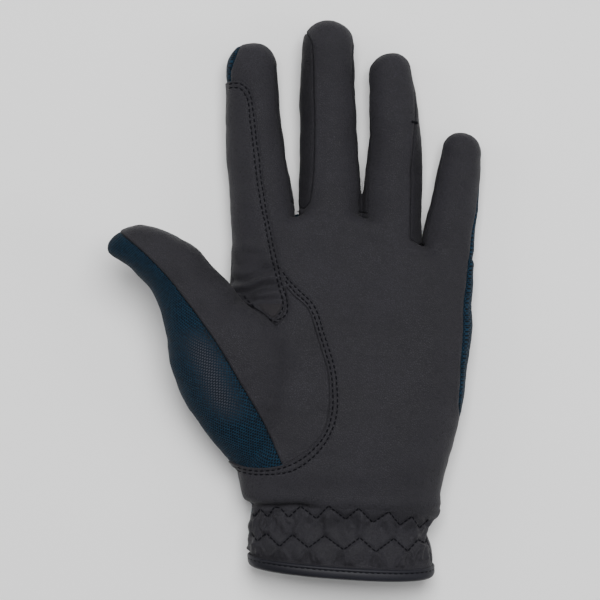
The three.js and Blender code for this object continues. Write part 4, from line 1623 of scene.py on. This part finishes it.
class Nodes:
    """A material's node tree, with short ways to add and join nodes."""

    def __init__(self, name: str) -> None:
        """Make an empty material.

        Args:
            name: The material's name.
        """
        self.material = bpy.data.materials.new(name)
        self.material.use_nodes = True
        self.tree = self.material.node_tree
        self.tree.nodes.clear()
        self.output = self.add("ShaderNodeOutputMaterial")
        self.shader = self.add("ShaderNodeBsdfPrincipled")
        self.put(self.shader.outputs["BSDF"], self.output.inputs["Surface"])

    def add(self, kind: str, inputs: dict[Any, Any] | None = None, **settings: Any) -> bpy.types.Node:
        """Add a node.

        Args:
            kind: Blender's name of the node.
            inputs: Values or sockets for its inputs, by name or number.
            settings: Its own settings.

        Returns:
            The node.
        """
        node = self.tree.nodes.new(kind)
        for key, value in settings.items():
            setattr(node, key, value)
        for key, value in (inputs or {}).items():
            self.put(value, node.inputs[key])
        return node

    def put(self, value: Any, target: Socket) -> None:
        """Give an input a value, or join a socket to it.

        Args:
            value: The value or the socket.
            target: The input.
        """
        if isinstance(value, Socket):
            self.tree.links.new(value, target)
        else:
            target.default_value = value

    def shade(self, **inputs: Any) -> Material:
        """Set the shader's inputs, and return the finished material.

        Args:
            inputs: Values or sockets, by the input's name with _ for each space.

        Returns:
            The material.
        """
        for name, value in inputs.items():
            self.put(value, self.shader.inputs[name.replace("_", " ")])
        return self.material

    def math(self, operation: str, *values: Any) -> Socket:
        """Return the result of a sum of one or more values."""
        return self.add("ShaderNodeMath", dict(enumerate(values)), operation=operation).outputs[0]

    def vector(self, operation: str, *values: Any) -> Socket:
        """Return the result of a vector sum."""
        node = self.add("ShaderNodeVectorMath", dict(enumerate(values)), operation=operation)
        return node.outputs["Value" if operation in ("LENGTH", "DOT_PRODUCT") else "Vector"]

    def ramp(self, value: Socket, low: float, high: float, start: float, end: float) -> Socket:
        """Return a value spread between two limits and two results."""
        spread = {"Value": value, "From Min": low, "From Max": high, "To Min": start, "To Max": end}
        return self.add("ShaderNodeMapRange", spread).outputs[0]

    def mix(self, share: Any, first: Any, second: Any) -> Socket:
        """Return a mix of two colours."""
        inputs = {0: share, 6: first, 7: second}
        return self.add("ShaderNodeMix", inputs, data_type="RGBA").outputs[2]

    def bump(self, height: Any, distance: float) -> Socket:
        """Return a normal bent by a height in metres times a distance."""
        return self.add("ShaderNodeBump", {"Height": height, "Distance": distance}).outputs[0]

    def noise(self, scale: float, detail: float) -> Socket:
        """Return an even noise through space, with so many hills in a metre."""
        inputs = {"Vector": self.place(), "Scale": scale, "Detail": detail}
        return self.add("ShaderNodeTexNoise", inputs).outputs[0]

    def place(self) -> Socket:
        """Return the place in the piece's own space, in metres."""
        return self.add("ShaderNodeTexCoord").outputs["Object"]


def linear(red: int, green: int, blue: int) -> tuple[float, float, float, float]:
    """Return a screen colour of 0 to 255 as linear light.

    Args:
        red: Its red.
        green: Its green.
        blue: Its blue.

    Returns:
        The colour, with a full opacity.
    """
    shares = [part / 255 for part in (red, green, blue)]
    dark = 10 / 255
    parts = [((c + 0.055) / 1.055) ** 2.4 if c > dark else c / 12.92 for c in shares]
    return (*parts, 1.0)


def scaled(colour: tuple[float, ...], factor: float) -> tuple[float, ...]:
    """Return a colour made lighter or darker."""
    return (*[factor * part for part in colour[:3]], 1.0)


@dataclass(frozen=True)
class Leather:
    """Fine-grained synthetic leather."""

    name: str
    colour: tuple[int, int, int] = (39, 38, 43)
    roughness: float = 0.62
    grain: float = 0.75
    relief: float = 0.00011
    crease_width: float = 0.18
    fine_scale: float = 2600.0
    mottle_scale: float = 45.0
    dark: float = 0.55
    light: float = 1.5
    specular: float = 0.2
    sheen: float = 0.03
    sheen_roughness: float = 0.45

    def material(self) -> Material:
        """Return the leather as a material.

        Returns:
            The material.
        """
        nodes = Nodes(self.name)
        cells = {"Vector": nodes.place(), "Scale": 1000 / self.grain, "Randomness": 1.0}
        pebbles = nodes.add("ShaderNodeTexVoronoi", cells, feature="DISTANCE_TO_EDGE")
        broad = nodes.noise(self.mottle_scale, 3.0)
        edge = nodes.ramp(pebbles.outputs["Distance"], 0.0, self.crease_width, 0.0, 1.0)
        fine = nodes.math("MULTIPLY", nodes.noise(self.fine_scale, 2.0), 0.5)
        grain = nodes.math("ADD", edge, fine)
        base = linear(*self.colour)
        dark, light = scaled(base, self.dark), scaled(base, self.light)
        mottled = nodes.mix(nodes.ramp(broad, 0.3, 0.7, 0.3, 0.7), dark, light)
        low, high = self.roughness - 0.05, self.roughness + 0.05
        return nodes.shade(
            Base_Color=nodes.mix(nodes.ramp(edge, 0.0, 1.0, 0.9, 0.0), mottled, dark),
            Roughness=nodes.ramp(broad, 0.3, 0.7, low, high),
            Specular_IOR_Level=self.specular,
            Sheen_Weight=self.sheen,
            Sheen_Roughness=self.sheen_roughness,
            Normal=nodes.bump(grain, self.relief),
        )


@dataclass(frozen=True)
class Knit:
    """Stretch mesh: a honeycomb knit of small holes, laid by the surface's own cloth map."""

    name: str
    pitch: float = 0.93
    ground: tuple[int, int, int] = (1, 3, 6)
    yarn: tuple[int, int, int] = (12, 46, 66)
    dark_yarn: tuple[int, int, int] = (7, 30, 46)
    # The highlight painted on the thumb's mesh: its pale ground, and the greyer yarn over it
    painted_highlight: tuple[int, int, int] = (54, 57, 65)
    painted_highlight_yarn: tuple[int, int, int] = (10, 20, 30)
    hole: tuple[float, float] = (0.24, 0.44)
    mottle_scale: float = 900.0
    relief: float = 0.00018
    roughness: float = 0.75
    specular: float = 0.15
    sheen: float = 0.03
    sheen_roughness: float = 0.4

    def hexagons(self, nodes: Nodes, place: Socket) -> Socket:
        """Return the distance to the nearest hole's middle, in pitches.

        Args:
            nodes: The material's nodes.
            place: The place on the cloth.

        Returns:
            The distance.
        """
        cell = (1.0, math.sqrt(3), 1.0)
        half = tuple(part / 2 for part in cell)
        apart = []
        for shift in ((0.0, 0.0, 0.0), half):
            moved = nodes.vector("ADD", place, shift)
            wrapped = nodes.vector("WRAP", moved, half, tuple(-part for part in half))
            flat = nodes.vector("MULTIPLY", wrapped, (1.0, 1.0, 0.0))
            apart.append(nodes.vector("LENGTH", flat))
        return nodes.math("MINIMUM", *apart)

    def material(self) -> Material:
        """Return the mesh as a material.

        Returns:
            The material.
        """
        nodes = Nodes(self.name)
        cloth = nodes.add("ShaderNodeUVMap", uv_map="cloth").outputs[0]
        place = nodes.vector("SCALE", cloth)
        place.node.inputs["Scale"].default_value = 1 / self.pitch
        hole = nodes.ramp(self.hexagons(nodes, place), *self.hole, 1.0, 0.0)
        # The share of painted highlight at each point, which turns the ground pale and the yarn grey
        painted_highlight = nodes.add("ShaderNodeAttribute", attribute_name="painted_highlight_share").outputs["Fac"]
        uneven = nodes.ramp(nodes.noise(self.mottle_scale, 2.0), 0.35, 0.65, 0.0, 1.0)
        yarn = nodes.mix(uneven, linear(*self.yarn), linear(*self.dark_yarn))
        ground = nodes.mix(painted_highlight, linear(*self.ground), linear(*self.painted_highlight))
        return nodes.shade(
            Base_Color=nodes.mix(hole, nodes.mix(painted_highlight, yarn, linear(*self.painted_highlight_yarn)), ground),
            Roughness=self.roughness,
            Specular_IOR_Level=self.specular,
            Sheen_Weight=self.sheen,
            Sheen_Roughness=self.sheen_roughness,
            Normal=nodes.bump(nodes.math("SUBTRACT", 1.0, hole), self.relief),
        )


@dataclass(frozen=True)
class Thread:
    """Sewing thread with a fine twist."""

    name: str
    colour: tuple[int, int, int] = (5, 5, 9)
    twist_scale: float = 4200.0
    relief: float = 0.00004
    roughness: float = 0.7
    specular: float = 0.1

    def material(self) -> Material:
        """Return the thread as a material.

        Returns:
            The material.
        """
        nodes = Nodes(self.name)
        twist = nodes.noise(self.twist_scale, 1.0)
        base = linear(*self.colour)
        return nodes.shade(
            Base_Color=nodes.mix(twist, base, scaled(base, 2.0)),
            Roughness=self.roughness,
            Specular_IOR_Level=self.specular,
            Normal=nodes.bump(twist, self.relief),
        )


# The glove's pieces


def set_attribute(made: bpy.types.Object, name: str, values: Array) -> None:
    """Give a piece's points a named value each."""
    layer = made.data.attributes.new(name, "FLOAT", "POINT")
    layer.data.foreach_set("value", values.astype(np.float32))


def set_cloth_map(made: bpy.types.Object, places: Array) -> None:
    """Give a piece its cloth map, in millimetres of cloth.

    Args:
        made: The piece.
        places: The place of each vertex on the cloth.
    """
    layer = made.data.uv_layers.new(name="cloth")
    corners = np.empty(len(made.data.loops), np.int32)
    made.data.loops.foreach_get("vertex_index", corners)
    layer.data.foreach_set("uv", places[corners].astype(np.float32).ravel())


def finished(made: bpy.types.Object, material: Material, slot: str, nodes: Sequence[str] = ()) -> None:
    """Dress a piece and tie it to the frame.

    Args:
        made: The piece.
        material: Its material.
        slot: The record's slot that its finish is from; not used.
        nodes: The CAD nodes that it stands for.
    """
    made.data.materials.append(material)
    made.data.set_sharp_from_angle(angle=math.radians(SHARP_DEGREES))
    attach(made, "root")
    if nodes:
        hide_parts(*nodes)
    log.info("%s: %d triangles", made.name, len(made.data.polygons))


@dataclass
class Body:
    """The glove's skin, with what each panel needs to take its own shape."""

    voxel: float = VOXEL
    clearance: float = 0.1
    patch_thickness: float = 0.75
    patch_low: float = 5.8

    def build(self) -> None:
        """Cut the skin, and measure every point's distance to its seams."""
        self.skin = HandSkin(self.voxel).build()
        skin = self.skin
        skin.cut(self.patch_level(skin.points), skin.of(Panel.PALM, Panel.BACK))
        skin.cut(self.gusset_level(skin.points), skin.of(Panel.PALM))
        skin.refined(skin.of(Panel.WRIST))
        self.score_rows()
        self.score_seams()
        self.normals = skin.normals()
        self.relief = Relief()
        self.surfaces: list[Skin] = []

    def patch_level(self, points: Array) -> Array:
        """Measure how deep points lie in the reinforcement's area.

        Args:
            points: The points.

        Returns:
            Each point's depth, below 0 outside.
        """
        row = PHOTOGRAPH.line(PATCH_OUTER_ROW)
        outline = np.vstack([row, PHOTOGRAPH.outline(PATCH_RETURN)])
        left, low_end = -10, 5
        near = (points[:, 0] < left) & (points[:, 1] > low_end)
        level = depth_near(points, outline, near) + PATCH_EDGE_MARGIN
        return np.minimum(level, points[:, 2] - self.patch_low)

    @staticmethod
    def gusset_level(points: Array) -> Array:
        """Measure how deep points lie in the gusset's area.

        Args:
            points: The points.

        Returns:
            Each point's depth, below 0 outside.
        """
        outline = PHOTOGRAPH.outline(GUSSET)
        reach, low = 14, 8
        near = (np.abs(points[:, :2] - outline.mean(0)) < reach).all(1) & (points[:, 2] > low)
        return depth_near(points, outline, near)

    def score_rows(self) -> None:
        """Lay mesh edges along the stitch rows."""
        beside, reach, low = 0.55, 2.0, 9
        skin = self.skin
        for row in STITCH_ROWS:
            line = PHOTOGRAPH.line(row)
            for shift in (-beside, 0.0, beside):
                level = line_distance(skin.points, line, within=3.0) - shift
                close = (np.abs(level) < reach) & (skin.points[:, 2] > low)
                skin.cut(level, close[skin.triangles].all(1))

    def seam_points(self, panel: int | None = None) -> tuple[Array, Array]:
        """Return points along the seams, and the panel on the far side of each.

        Args:
            panel: The number of the panel whose seams are wanted, or None for all.

        Returns:
            The points, and the numbers of the neighbours' panels.
        """
        skin = self.skin
        pairs = np.sort(sides_of(skin.triangles), axis=1)
        owner = np.tile(skin.panels, 3)
        keys = pairs[:, 0] * len(skin.points) + pairs[:, 1]
        order = np.argsort(keys, kind="stable")
        same = keys[order][1:] == keys[order][:-1]
        first, second = order[:-1][same], order[1:][same]
        apart = owner[first] != owner[second]
        first, second = first[apart], second[apart]
        ends = skin.points[pairs[first]]
        owners, others = owner[first], owner[second]
        samples = [ends[:, 0] * (1 - s) + ends[:, 1] * s for s in (0, 0.33, 0.67, 1)]
        if panel is None:
            return np.vstack(samples), np.tile(others, 4)
        mine = (owners == panel) | (others == panel)
        other = np.where(owners == panel, others, owners)[mine]
        return np.vstack([sample[mine] for sample in samples]), np.tile(other, 4)

    def score_seams(self) -> None:
        """Lay mesh edges beside the seams."""
        skin = self.skin
        distance, _ = nearest_points(self.seam_points()[0], skin.points)
        reach = 1.6
        for step in SEAM_STEPS:
            close = (distance < step + reach)[skin.triangles].all(1)
            distance = skin.cut(distance - step, close) + step

    def surface(self, panel: Panel) -> tuple[Skin, Array]:
        """Return a panel's own surface, and the directions out of it.

        Args:
            panel: The panel.

        Returns:
            The surface and the directions.
        """
        number = PANELS.index(panel)
        part, old = self.skin.part(self.skin.panels == number)
        normals = self.normals[old]
        seams, others = self.seam_points(number)
        distance, hit = nearest_points(seams, part.points)
        move = np.zeros(len(part.points))
        for other in np.unique(others):
            shape = EDGES.get((panel, PANELS[other]), SEWN)
            beside = others[hit] == other
            move[beside] = shape.offset(distance[beside])
        move += self.relief.offset(part.points, normals[:, 2])
        if panel == Panel.WRIST:
            move += Gathers().offset(part.points, CUFF.depth(part.points))
        part.push(normals, move)
        part.points[:, 2] = np.maximum(part.points[:, 2], 0)
        self.surfaces.append(part)
        return part, normals


@dataclass
class PanelPiece:
    """One sewn panel as a piece."""

    panel: Panel
    finish: Leather | Knit
    slot: str
    thickness: float = LEATHER_THICKNESS

    def build(self, body: Body, material: Material) -> None:
        """Shape the panel from the body's skin and dress it.

        Args:
            body: The glove's skin.
            material: Its cloth.
        """
        part, normals = body.surface(self.panel)
        made = mesh_object(self.panel.value + "_piece", part.thickened(normals, self.thickness))
        if isinstance(self.finish, Knit):
            places = self.cloth_places(part.points)
            set_cloth_map(made, np.vstack([places, places]))
            # The thumb mesh's painted highlight, as a share at each point
            painted_highlight_share = self.painted_highlight_share(part.points)
            set_attribute(made, "painted_highlight_share", np.concatenate([painted_highlight_share, painted_highlight_share]))
        finished(made, material, self.slot, [self.panel.value])

    def cloth_places(self, points: Array) -> Array:
        """Return where points lie on the flat cloth, in millimetres.

        Args:
            points: The points.

        Returns:
            The places.
        """
        if self.panel == Panel.THUMB_MESH:
            along, offset = THUMB.locate(points)
            height = points[:, 2] - THUMB.sections.at("height", along) * THUMB.thickness
            half, rise = THUMB.half(along), THUMB.rise(along)
            turn = np.arctan2(-offset / half, -height / rise)
            return np.stack([turn * (half.mean() + rise.mean()) / 2, along * THUMB.length], 1)
        middle = PALM.sections.at("across", (points[:, 1] - WRIST_Y) / PALM.length) * PALM.width
        side = np.sign(points[:, 0] - middle)
        return np.stack([points[:, 0] + side * points[:, 2], points[:, 1]], 1)

    def painted_highlight_share(self, points: Array) -> Array:
        """Return the share of the highlight painted on the thumb's mesh, from 0 to 1.

        Args:
            points: The points.

        Returns:
            Each point's share of painted highlight.
        """
        if self.panel != Panel.THUMB_MESH:
            return np.zeros(len(points))
        width, low_end, high_end = 5.5, (-22, -10), (8, 20)
        apart = line_distance(points, PHOTOGRAPH.line(THUMB_PAINTED_HIGHLIGHT), within=30.0)
        ends = smoothstep(points[:, 1], *low_end) * (1 - smoothstep(points[:, 1], *high_end))
        return np.exp(-((apart / width) ** 2)) * ends


@dataclass
class IndexPatch:
    """The reinforcement over the forefinger's outer side, down to the web of the thumb."""

    rim: EdgeShape = EdgeShape(0.5, 0.7, 0.0)
    gusset_lift: float = 0.45

    def build(self, body: Body, leather: Material, gusset: Material) -> None:
        """Shape the patch and its gusset over the panels and dress them.

        Args:
            body: The glove's skin.
            leather: The patch's leather.
            gusset: The gusset's leather.
        """
        skin = body.skin
        under = skin.of(Panel.PALM, Panel.BACK)
        part, old = skin.part(skin.inside(body.patch_level(skin.points)) & under)
        normals = body.normals[old]
        distance, _ = nearest_points(self.rim_points(part), part.points)
        move = body.relief.offset(part.points, normals[:, 2])
        move += body.clearance + body.patch_thickness + self.rim.offset(distance)
        part.push(normals, move)
        body.surfaces.append(part)
        sheet = part.thickened(normals, body.patch_thickness)
        finished(mesh_object("index_patch_piece", sheet), leather, "palm_leather", ["index_patch"])
        self.build_gusset(body, part, normals, gusset)

    def build_gusset(self, body: Body, patch: Skin, normals: Array, material: Material) -> None:
        """Shape the small gusset that lies on the patch's end.

        Args:
            body: The glove's skin.
            patch: The patch's finished surface.
            normals: The directions out at its points.
            material: The gusset's leather.
        """
        part, old = patch.part(patch.inside(body.gusset_level(patch.points)))
        distance, _ = nearest_points(self.rim_points(part), part.points)
        move = self.gusset_lift + self.rim.offset(distance) * 0.5
        part.push(normals[old], move)
        body.surfaces.append(part)
        sheet = part.thickened(normals[old], self.gusset_lift)
        finished(mesh_object("web_gusset", sheet), material, "palm_leather")

    @staticmethod
    def rim_points(part: Skin) -> Array:
        """Return points along a surface's open edges.

        Args:
            part: The surface.

        Returns:
            The points.
        """
        pairs = np.sort(sides_of(part.triangles), axis=1)
        edges, counts = np.unique(pairs, axis=0, return_counts=True)
        ends = part.points[edges[counts == 1]]
        return np.vstack([ends[:, 0] * (1 - s) + ends[:, 1] * s for s in (0, 0.5, 1)])


@dataclass
class HemBinding:
    """The smooth binding folded round the opening.

    Each place in its section is given out of the skin and past the hem, in millimetres.
    """

    sides: int = 260
    row: tuple[float, float] = (1.1, -1.9)
    section: tuple[tuple[float, float], ...] = (
        (0.35, -3.3), (0.9, -3.2), (1.3, -2.7), (1.25, -2.2), (1.02, -1.9), (1.25, -1.6), (1.38, -0.8),
        (1.35, 0.2), (1.05, 1.1), (0.3, 1.75), (-0.65, 1.95), (-1.6, 1.75), (-2.35, 1.1), (-2.6, 0.2),
        (-2.6, -2.6), (-2.3, -3.2), (-1.7, -3.3), (-1.6, -2.7), (-1.6, 0.1), (-1.2, 0.35), (-0.65, 0.4),
        (-0.1, 0.35), (0.3, 0.1), (0.3, -2.7),
    )

    def ring(self, out: float, past: float) -> Array:
        """Return one line of the section, all the way round.

        Args:
            out: How far it lies out of the skin.
            past: How far it lies past the hem.

        Returns:
            Its points.
        """
        angles = even_angles(self.sides)
        along = 1 + past / CUFF.length
        step = 1 / CUFF.length
        here = CUFF.ring(along, angles)
        around = np.roll(here, -1, 0) - np.roll(here, 1, 0)
        down = CUFF.ring(along + step, angles) - CUFF.ring(along - step, angles)
        normals = np.cross(down, around)
        normals /= np.linalg.norm(normals, axis=1, keepdims=True)
        outward = here - here.mean(0)
        if (normals * outward).sum() < 0:
            normals = -normals
        return CUFF.raised(here + out * normals)

    def build(self, body: Body, material: Material) -> None:
        """Shape the binding and dress it.

        Args:
            body: The glove's skin.
            material: The binding's leather.
        """
        corners = np.array(self.section)
        after = np.roll(corners, -1, 0)
        halves = [0.75 * corners + 0.25 * after, 0.25 * corners + 0.75 * after]
        section = np.stack(halves, 1).reshape(-1, 2)
        rings = np.stack([self.ring(out, past) for out, past in section])
        triangles = ring_triangles(len(rings), self.sides, looped=True)
        binding = Skin(rings.reshape(-1, 3), triangles).facing_out()
        body.surfaces.append(binding)
        finished(mesh_object("hem_binding_piece", binding), material, "binding", ["hem_binding"])


@dataclass(frozen=True)
class Stitching:
    """Thread sewn in separate stitches over a finished surface, in millimetres.

    A stitch that would fall lower than the lowest place, through a gap, is left out.
    """

    pitch: float = 2.25
    dash: float = 1.6
    radius: float = 0.3
    rise: float = 0.06
    rings: int = 7
    sides: int = 6
    lowest: float = 5.0

    def spaced(self, line: Array) -> Array:
        """Return the points along each stitch of a line.

        Args:
            line: Samples along the line, in the plane or in space, with any further columns.

        Returns:
            One row for each stitch, of one point for each of its rings.
        """
        places = line[:, : min(3, line.shape[1])]
        along = np.concatenate([[0], np.cumsum(np.linalg.norm(np.diff(places, axis=0), axis=1))])
        count = max(1, round(along[-1] / self.pitch))
        share = self.dash / self.pitch
        inside = (1 - share) / 2 + share * np.linspace(0, 1, self.rings)
        where = (np.arange(count)[:, None] + inside) * along[-1] / count
        return np.stack([np.interp(where, along, column) for column in line.T], 2)

    def laid(self, cover: BVHTree, plane: Array) -> tuple[Array, Array]:
        """Drop stitches from above onto the glove.

        Args:
            cover: The glove's outer surface.
            plane: The stitches' points in the plane.

        Returns:
            Their points on the surface, and the directions out of it.
        """
        points, normals = [], []
        for stitch in plane:
            hits = [cover.ray_cast(Vector((x, y, FAR)), Vector((0, 0, -1))) for x, y in stitch]
            if all(hit[0] is not None and hit[0].z > self.lowest for hit in hits):
                points.append([tuple(hit[0]) for hit in hits])
                out = np.sum([tuple(hit[1]) for hit in hits], axis=0)
                normals.append([out / np.linalg.norm(out)] * self.rings)
        return np.array(points), np.array(normals)

    def threads(self, points: Array, normals: Array) -> Skin:
        """Return stitches that dip into the surface at both ends.

        Args:
            points: Each stitch's points on the surface.
            normals: The directions out of the surface at them.

        Returns:
            The stitches as one skin.
        """
        t = np.abs(np.linspace(-1, 1, self.rings))
        lift = self.rise - (self.rise + self.radius) * t**3
        width = self.radius * (1 - 0.4 * t**4)
        centre = points + normals * lift[None, :, None]
        ahead = np.gradient(centre, axis=1)
        ahead /= np.linalg.norm(ahead, axis=2, keepdims=True)
        side = np.cross(ahead, normals)
        side /= np.linalg.norm(side, axis=2, keepdims=True)
        up = np.cross(side, ahead)
        angle = even_angles(self.sides)[:, None]
        round_it = np.cos(angle) * side[:, :, None] + np.sin(angle) * up[:, :, None]
        rings = centre[:, :, None] + width[None, :, None, None] * round_it
        first = closed_loft(rings[0])
        ends = np.stack([rings[:, 0].mean(1), rings[:, -1].mean(1)], 1)
        each = np.concatenate([rings.reshape(len(rings), -1, 3), ends], 1)
        offsets = np.arange(len(each))[:, None, None] * each.shape[1]
        return Skin(each.reshape(-1, 3), (first.triangles[None] + offsets).reshape(-1, 3))


@dataclass
class Sewing:
    """All the stitches that show."""

    rows: Stitching = Stitching()
    zigzag: Stitching = Stitching(pitch=1.9, dash=1.6, radius=0.28, rise=0.1)
    hem: Stitching = Stitching(pitch=2.3, dash=1.6, radius=0.24, rise=0.03)
    tack: Stitching = Stitching(pitch=0.9, dash=0.85, radius=0.25, rise=0.15)

    def build(self, body: Body, binding: HemBinding, thread: Material) -> None:
        """Sew every row onto the finished surfaces.

        Args:
            body: The glove's skin and finished surfaces.
            binding: The hem's binding.
            thread: The thread's material.
        """
        whole = joined(body.surfaces)
        cover = BVHTree.FromPolygons(whole.points.tolist(), whole.triangles.tolist())
        line, outline = PHOTOGRAPH.line, PHOTOGRAPH.outline
        sewn = {
            "thumb_hole_stitches": (self.rows, [line(row) for row in STITCH_ROWS[:2]]),
            "patch_stitches": (self.rows, [line(row) for row in (*STITCH_ROWS[2:], WEB_ROW)]),
            "wrist_zigzag_stitches": (self.zigzag, self.legs(WRIST_ZIGZAG) + self.legs(HEM_ZIGZAG)),
            "bartack_stitches": (self.tack, [outline(BARTACK) + (0, shift) for shift in (-0.3, 0.0, 0.3)]),
        }
        for name, (stitching, lines) in sewn.items():
            laid = [stitching.laid(cover, stitching.spaced(one)) for one in lines]
            laid = [(points, normals) for points, normals in laid if len(points)]
            skins = [stitching.threads(points, normals) for points, normals in laid]
            finished(mesh_object(name, joined(skins)), thread, "binding")
        self.sew_hem(binding, thread)

    @staticmethod
    def legs(corners: Sequence[tuple[float, float]]) -> list[Array]:
        """Return a zigzag's straight legs, each as a line."""
        places = PHOTOGRAPH.outline(corners)
        return [places[i : i + 2] for i in range(len(places) - 1)]

    def sew_hem(self, binding: HemBinding, thread: Material) -> None:
        """Sew the row that holds the binding, all the way round.

        Args:
            binding: The binding.
            thread: The thread.
        """
        out, past = binding.row
        ring = binding.ring(out, past)
        facing = binding.ring(out + 1, past) - ring
        facing /= np.linalg.norm(facing, axis=1, keepdims=True)
        line = np.hstack([ring, facing])
        stitches = self.hem.spaced(np.vstack([line, line[:1]]))
        skin = self.hem.threads(stitches[..., :3], stitches[..., 3:])
        finished(mesh_object("hem_stitches", skin), thread, "binding")


# Light and camera


@dataclass(frozen=True)
class Stage:
    """The pale floor, the soft light and the camera straight above."""

    distance: float = 2.6
    subject_height: float = 0.015
    sensor: float = 36.0
    floor: tuple[int, int, int] = (250, 250, 250)
    floor_z: float = -0.0003
    reach: float = 6.0
    surroundings: float = 0.28
    lights: tuple[tuple[str, tuple[float, float, float], float, float], ...] = (
        ("overhead", (0.1, 0.5, 1.6), 0.9, 34.0),
        ("left", (-1.4, 0.5, 1.0), 0.7, 4.0),
        ("right", (1.5, -0.2, 0.9), 0.7, 5.0),
    )

    def camera(self) -> None:
        """Set the camera to the photograph's view."""
        data = bpy.data.cameras.new("camera")
        camera = bpy.data.objects.new("camera", data)
        bpy.context.scene.collection.objects.link(camera)
        middle = PHOTOGRAPH.side / 2
        x, y = (value * MILLIMETRE for value in PHOTOGRAPH.place(middle - 0.5, middle - 0.5))
        camera.location = (x, y, self.distance)
        width = PHOTOGRAPH.side * PHOTOGRAPH.scale * MILLIMETRE
        data.sensor_width = self.sensor
        data.lens = self.sensor * (self.distance - self.subject_height) / width
        data.clip_end = 100.0
        bpy.context.scene.camera = camera

    def light(self, name: str, place: tuple[float, float, float], size: float, power: float) -> None:
        """Add a soft square light that faces the glove.

        Args:
            name: Its name.
            place: Its place in metres.
            size: Its side in metres.
            power: Its power in watts.
        """
        data = bpy.data.lights.new(name, "AREA")
        data.size, data.energy = size, power
        lamp = bpy.data.objects.new(name, data)
        lamp.location = place
        lamp.rotation_euler = (-Vector(place)).to_track_quat("-Z", "Y").to_euler()
        bpy.context.scene.collection.objects.link(lamp)

    def build(self) -> None:
        """Make the floor, the lights and the surroundings."""
        reach = self.reach
        corners = [(-reach, -reach, 0), (reach, -reach, 0), (reach, reach, 0), (-reach, reach, 0)]
        floor = mesh_object("floor", Skin(np.array(corners), np.array([[0, 1, 2], [0, 2, 3]])), unit=1.0)
        floor.location.z = self.floor_z
        paint = Nodes("floor_paint").shade(Base_Color=linear(*self.floor), Roughness=0.9)
        floor.data.materials.append(paint)
        for name, place, size, power in self.lights:
            self.light(name, place, size, power)
        world = bpy.data.worlds.new("surroundings")
        world.use_nodes = True
        background = world.node_tree.nodes["Background"]
        background.inputs["Color"].default_value = (1, 1, 1, 1)
        background.inputs["Strength"].default_value = self.surroundings
        bpy.context.scene.world = world


def main() -> None:
    """Build the glove's pieces in order and set them in light."""
    logging.basicConfig(level=logging.INFO)
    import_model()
    for old in [o for o in bpy.context.scene.objects if o.name in ("Cube", "Light", "Camera")]:
        bpy.data.objects.remove(old)
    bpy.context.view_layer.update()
    stage = Stage()
    stage.camera()
    leather = Leather("palm_leather")
    # The strips between the fingers are a darker copy of the palm leather: painted shade of the gaps
    # between the fingers
    strip_leather = Leather("strip_leather", (28, 27, 32))
    knit = Knit("back_mesh")
    smooth = Leather("binding_leather", (28, 28, 35), roughness=0.5, grain=0.4, relief=0.00001)
    gusset_leather = Leather("gusset_leather", (37, 35, 38))
    body = Body(VOXEL)
    body.build()
    finishes = (leather, strip_leather, knit, smooth, gusset_leather)
    made = {finish.name: finish.material() for finish in finishes}
    pieces = [
        PanelPiece(Panel.PALM, leather, "palm_leather"),
        PanelPiece(Panel.BACK, knit, "back_mesh", MESH_THICKNESS),
        *[PanelPiece(strip, strip_leather, "strip_leather") for strip in STRIPS],
        PanelPiece(Panel.THUMB_LEATHER, leather, "palm_leather"),
        PanelPiece(Panel.THUMB_MESH, knit, "back_mesh", MESH_THICKNESS),
        PanelPiece(Panel.WRIST, leather, "palm_leather"),
    ]
    for piece in pieces:
        piece.build(body, made[piece.finish.name])
    IndexPatch().build(body, made[leather.name], made[gusset_leather.name])
    binding = HemBinding()
    binding.build(body, made[smooth.name])
    Sewing().build(body, binding, Thread("thread").material())
    stage.build()


if __name__ == "__main__":
    main()
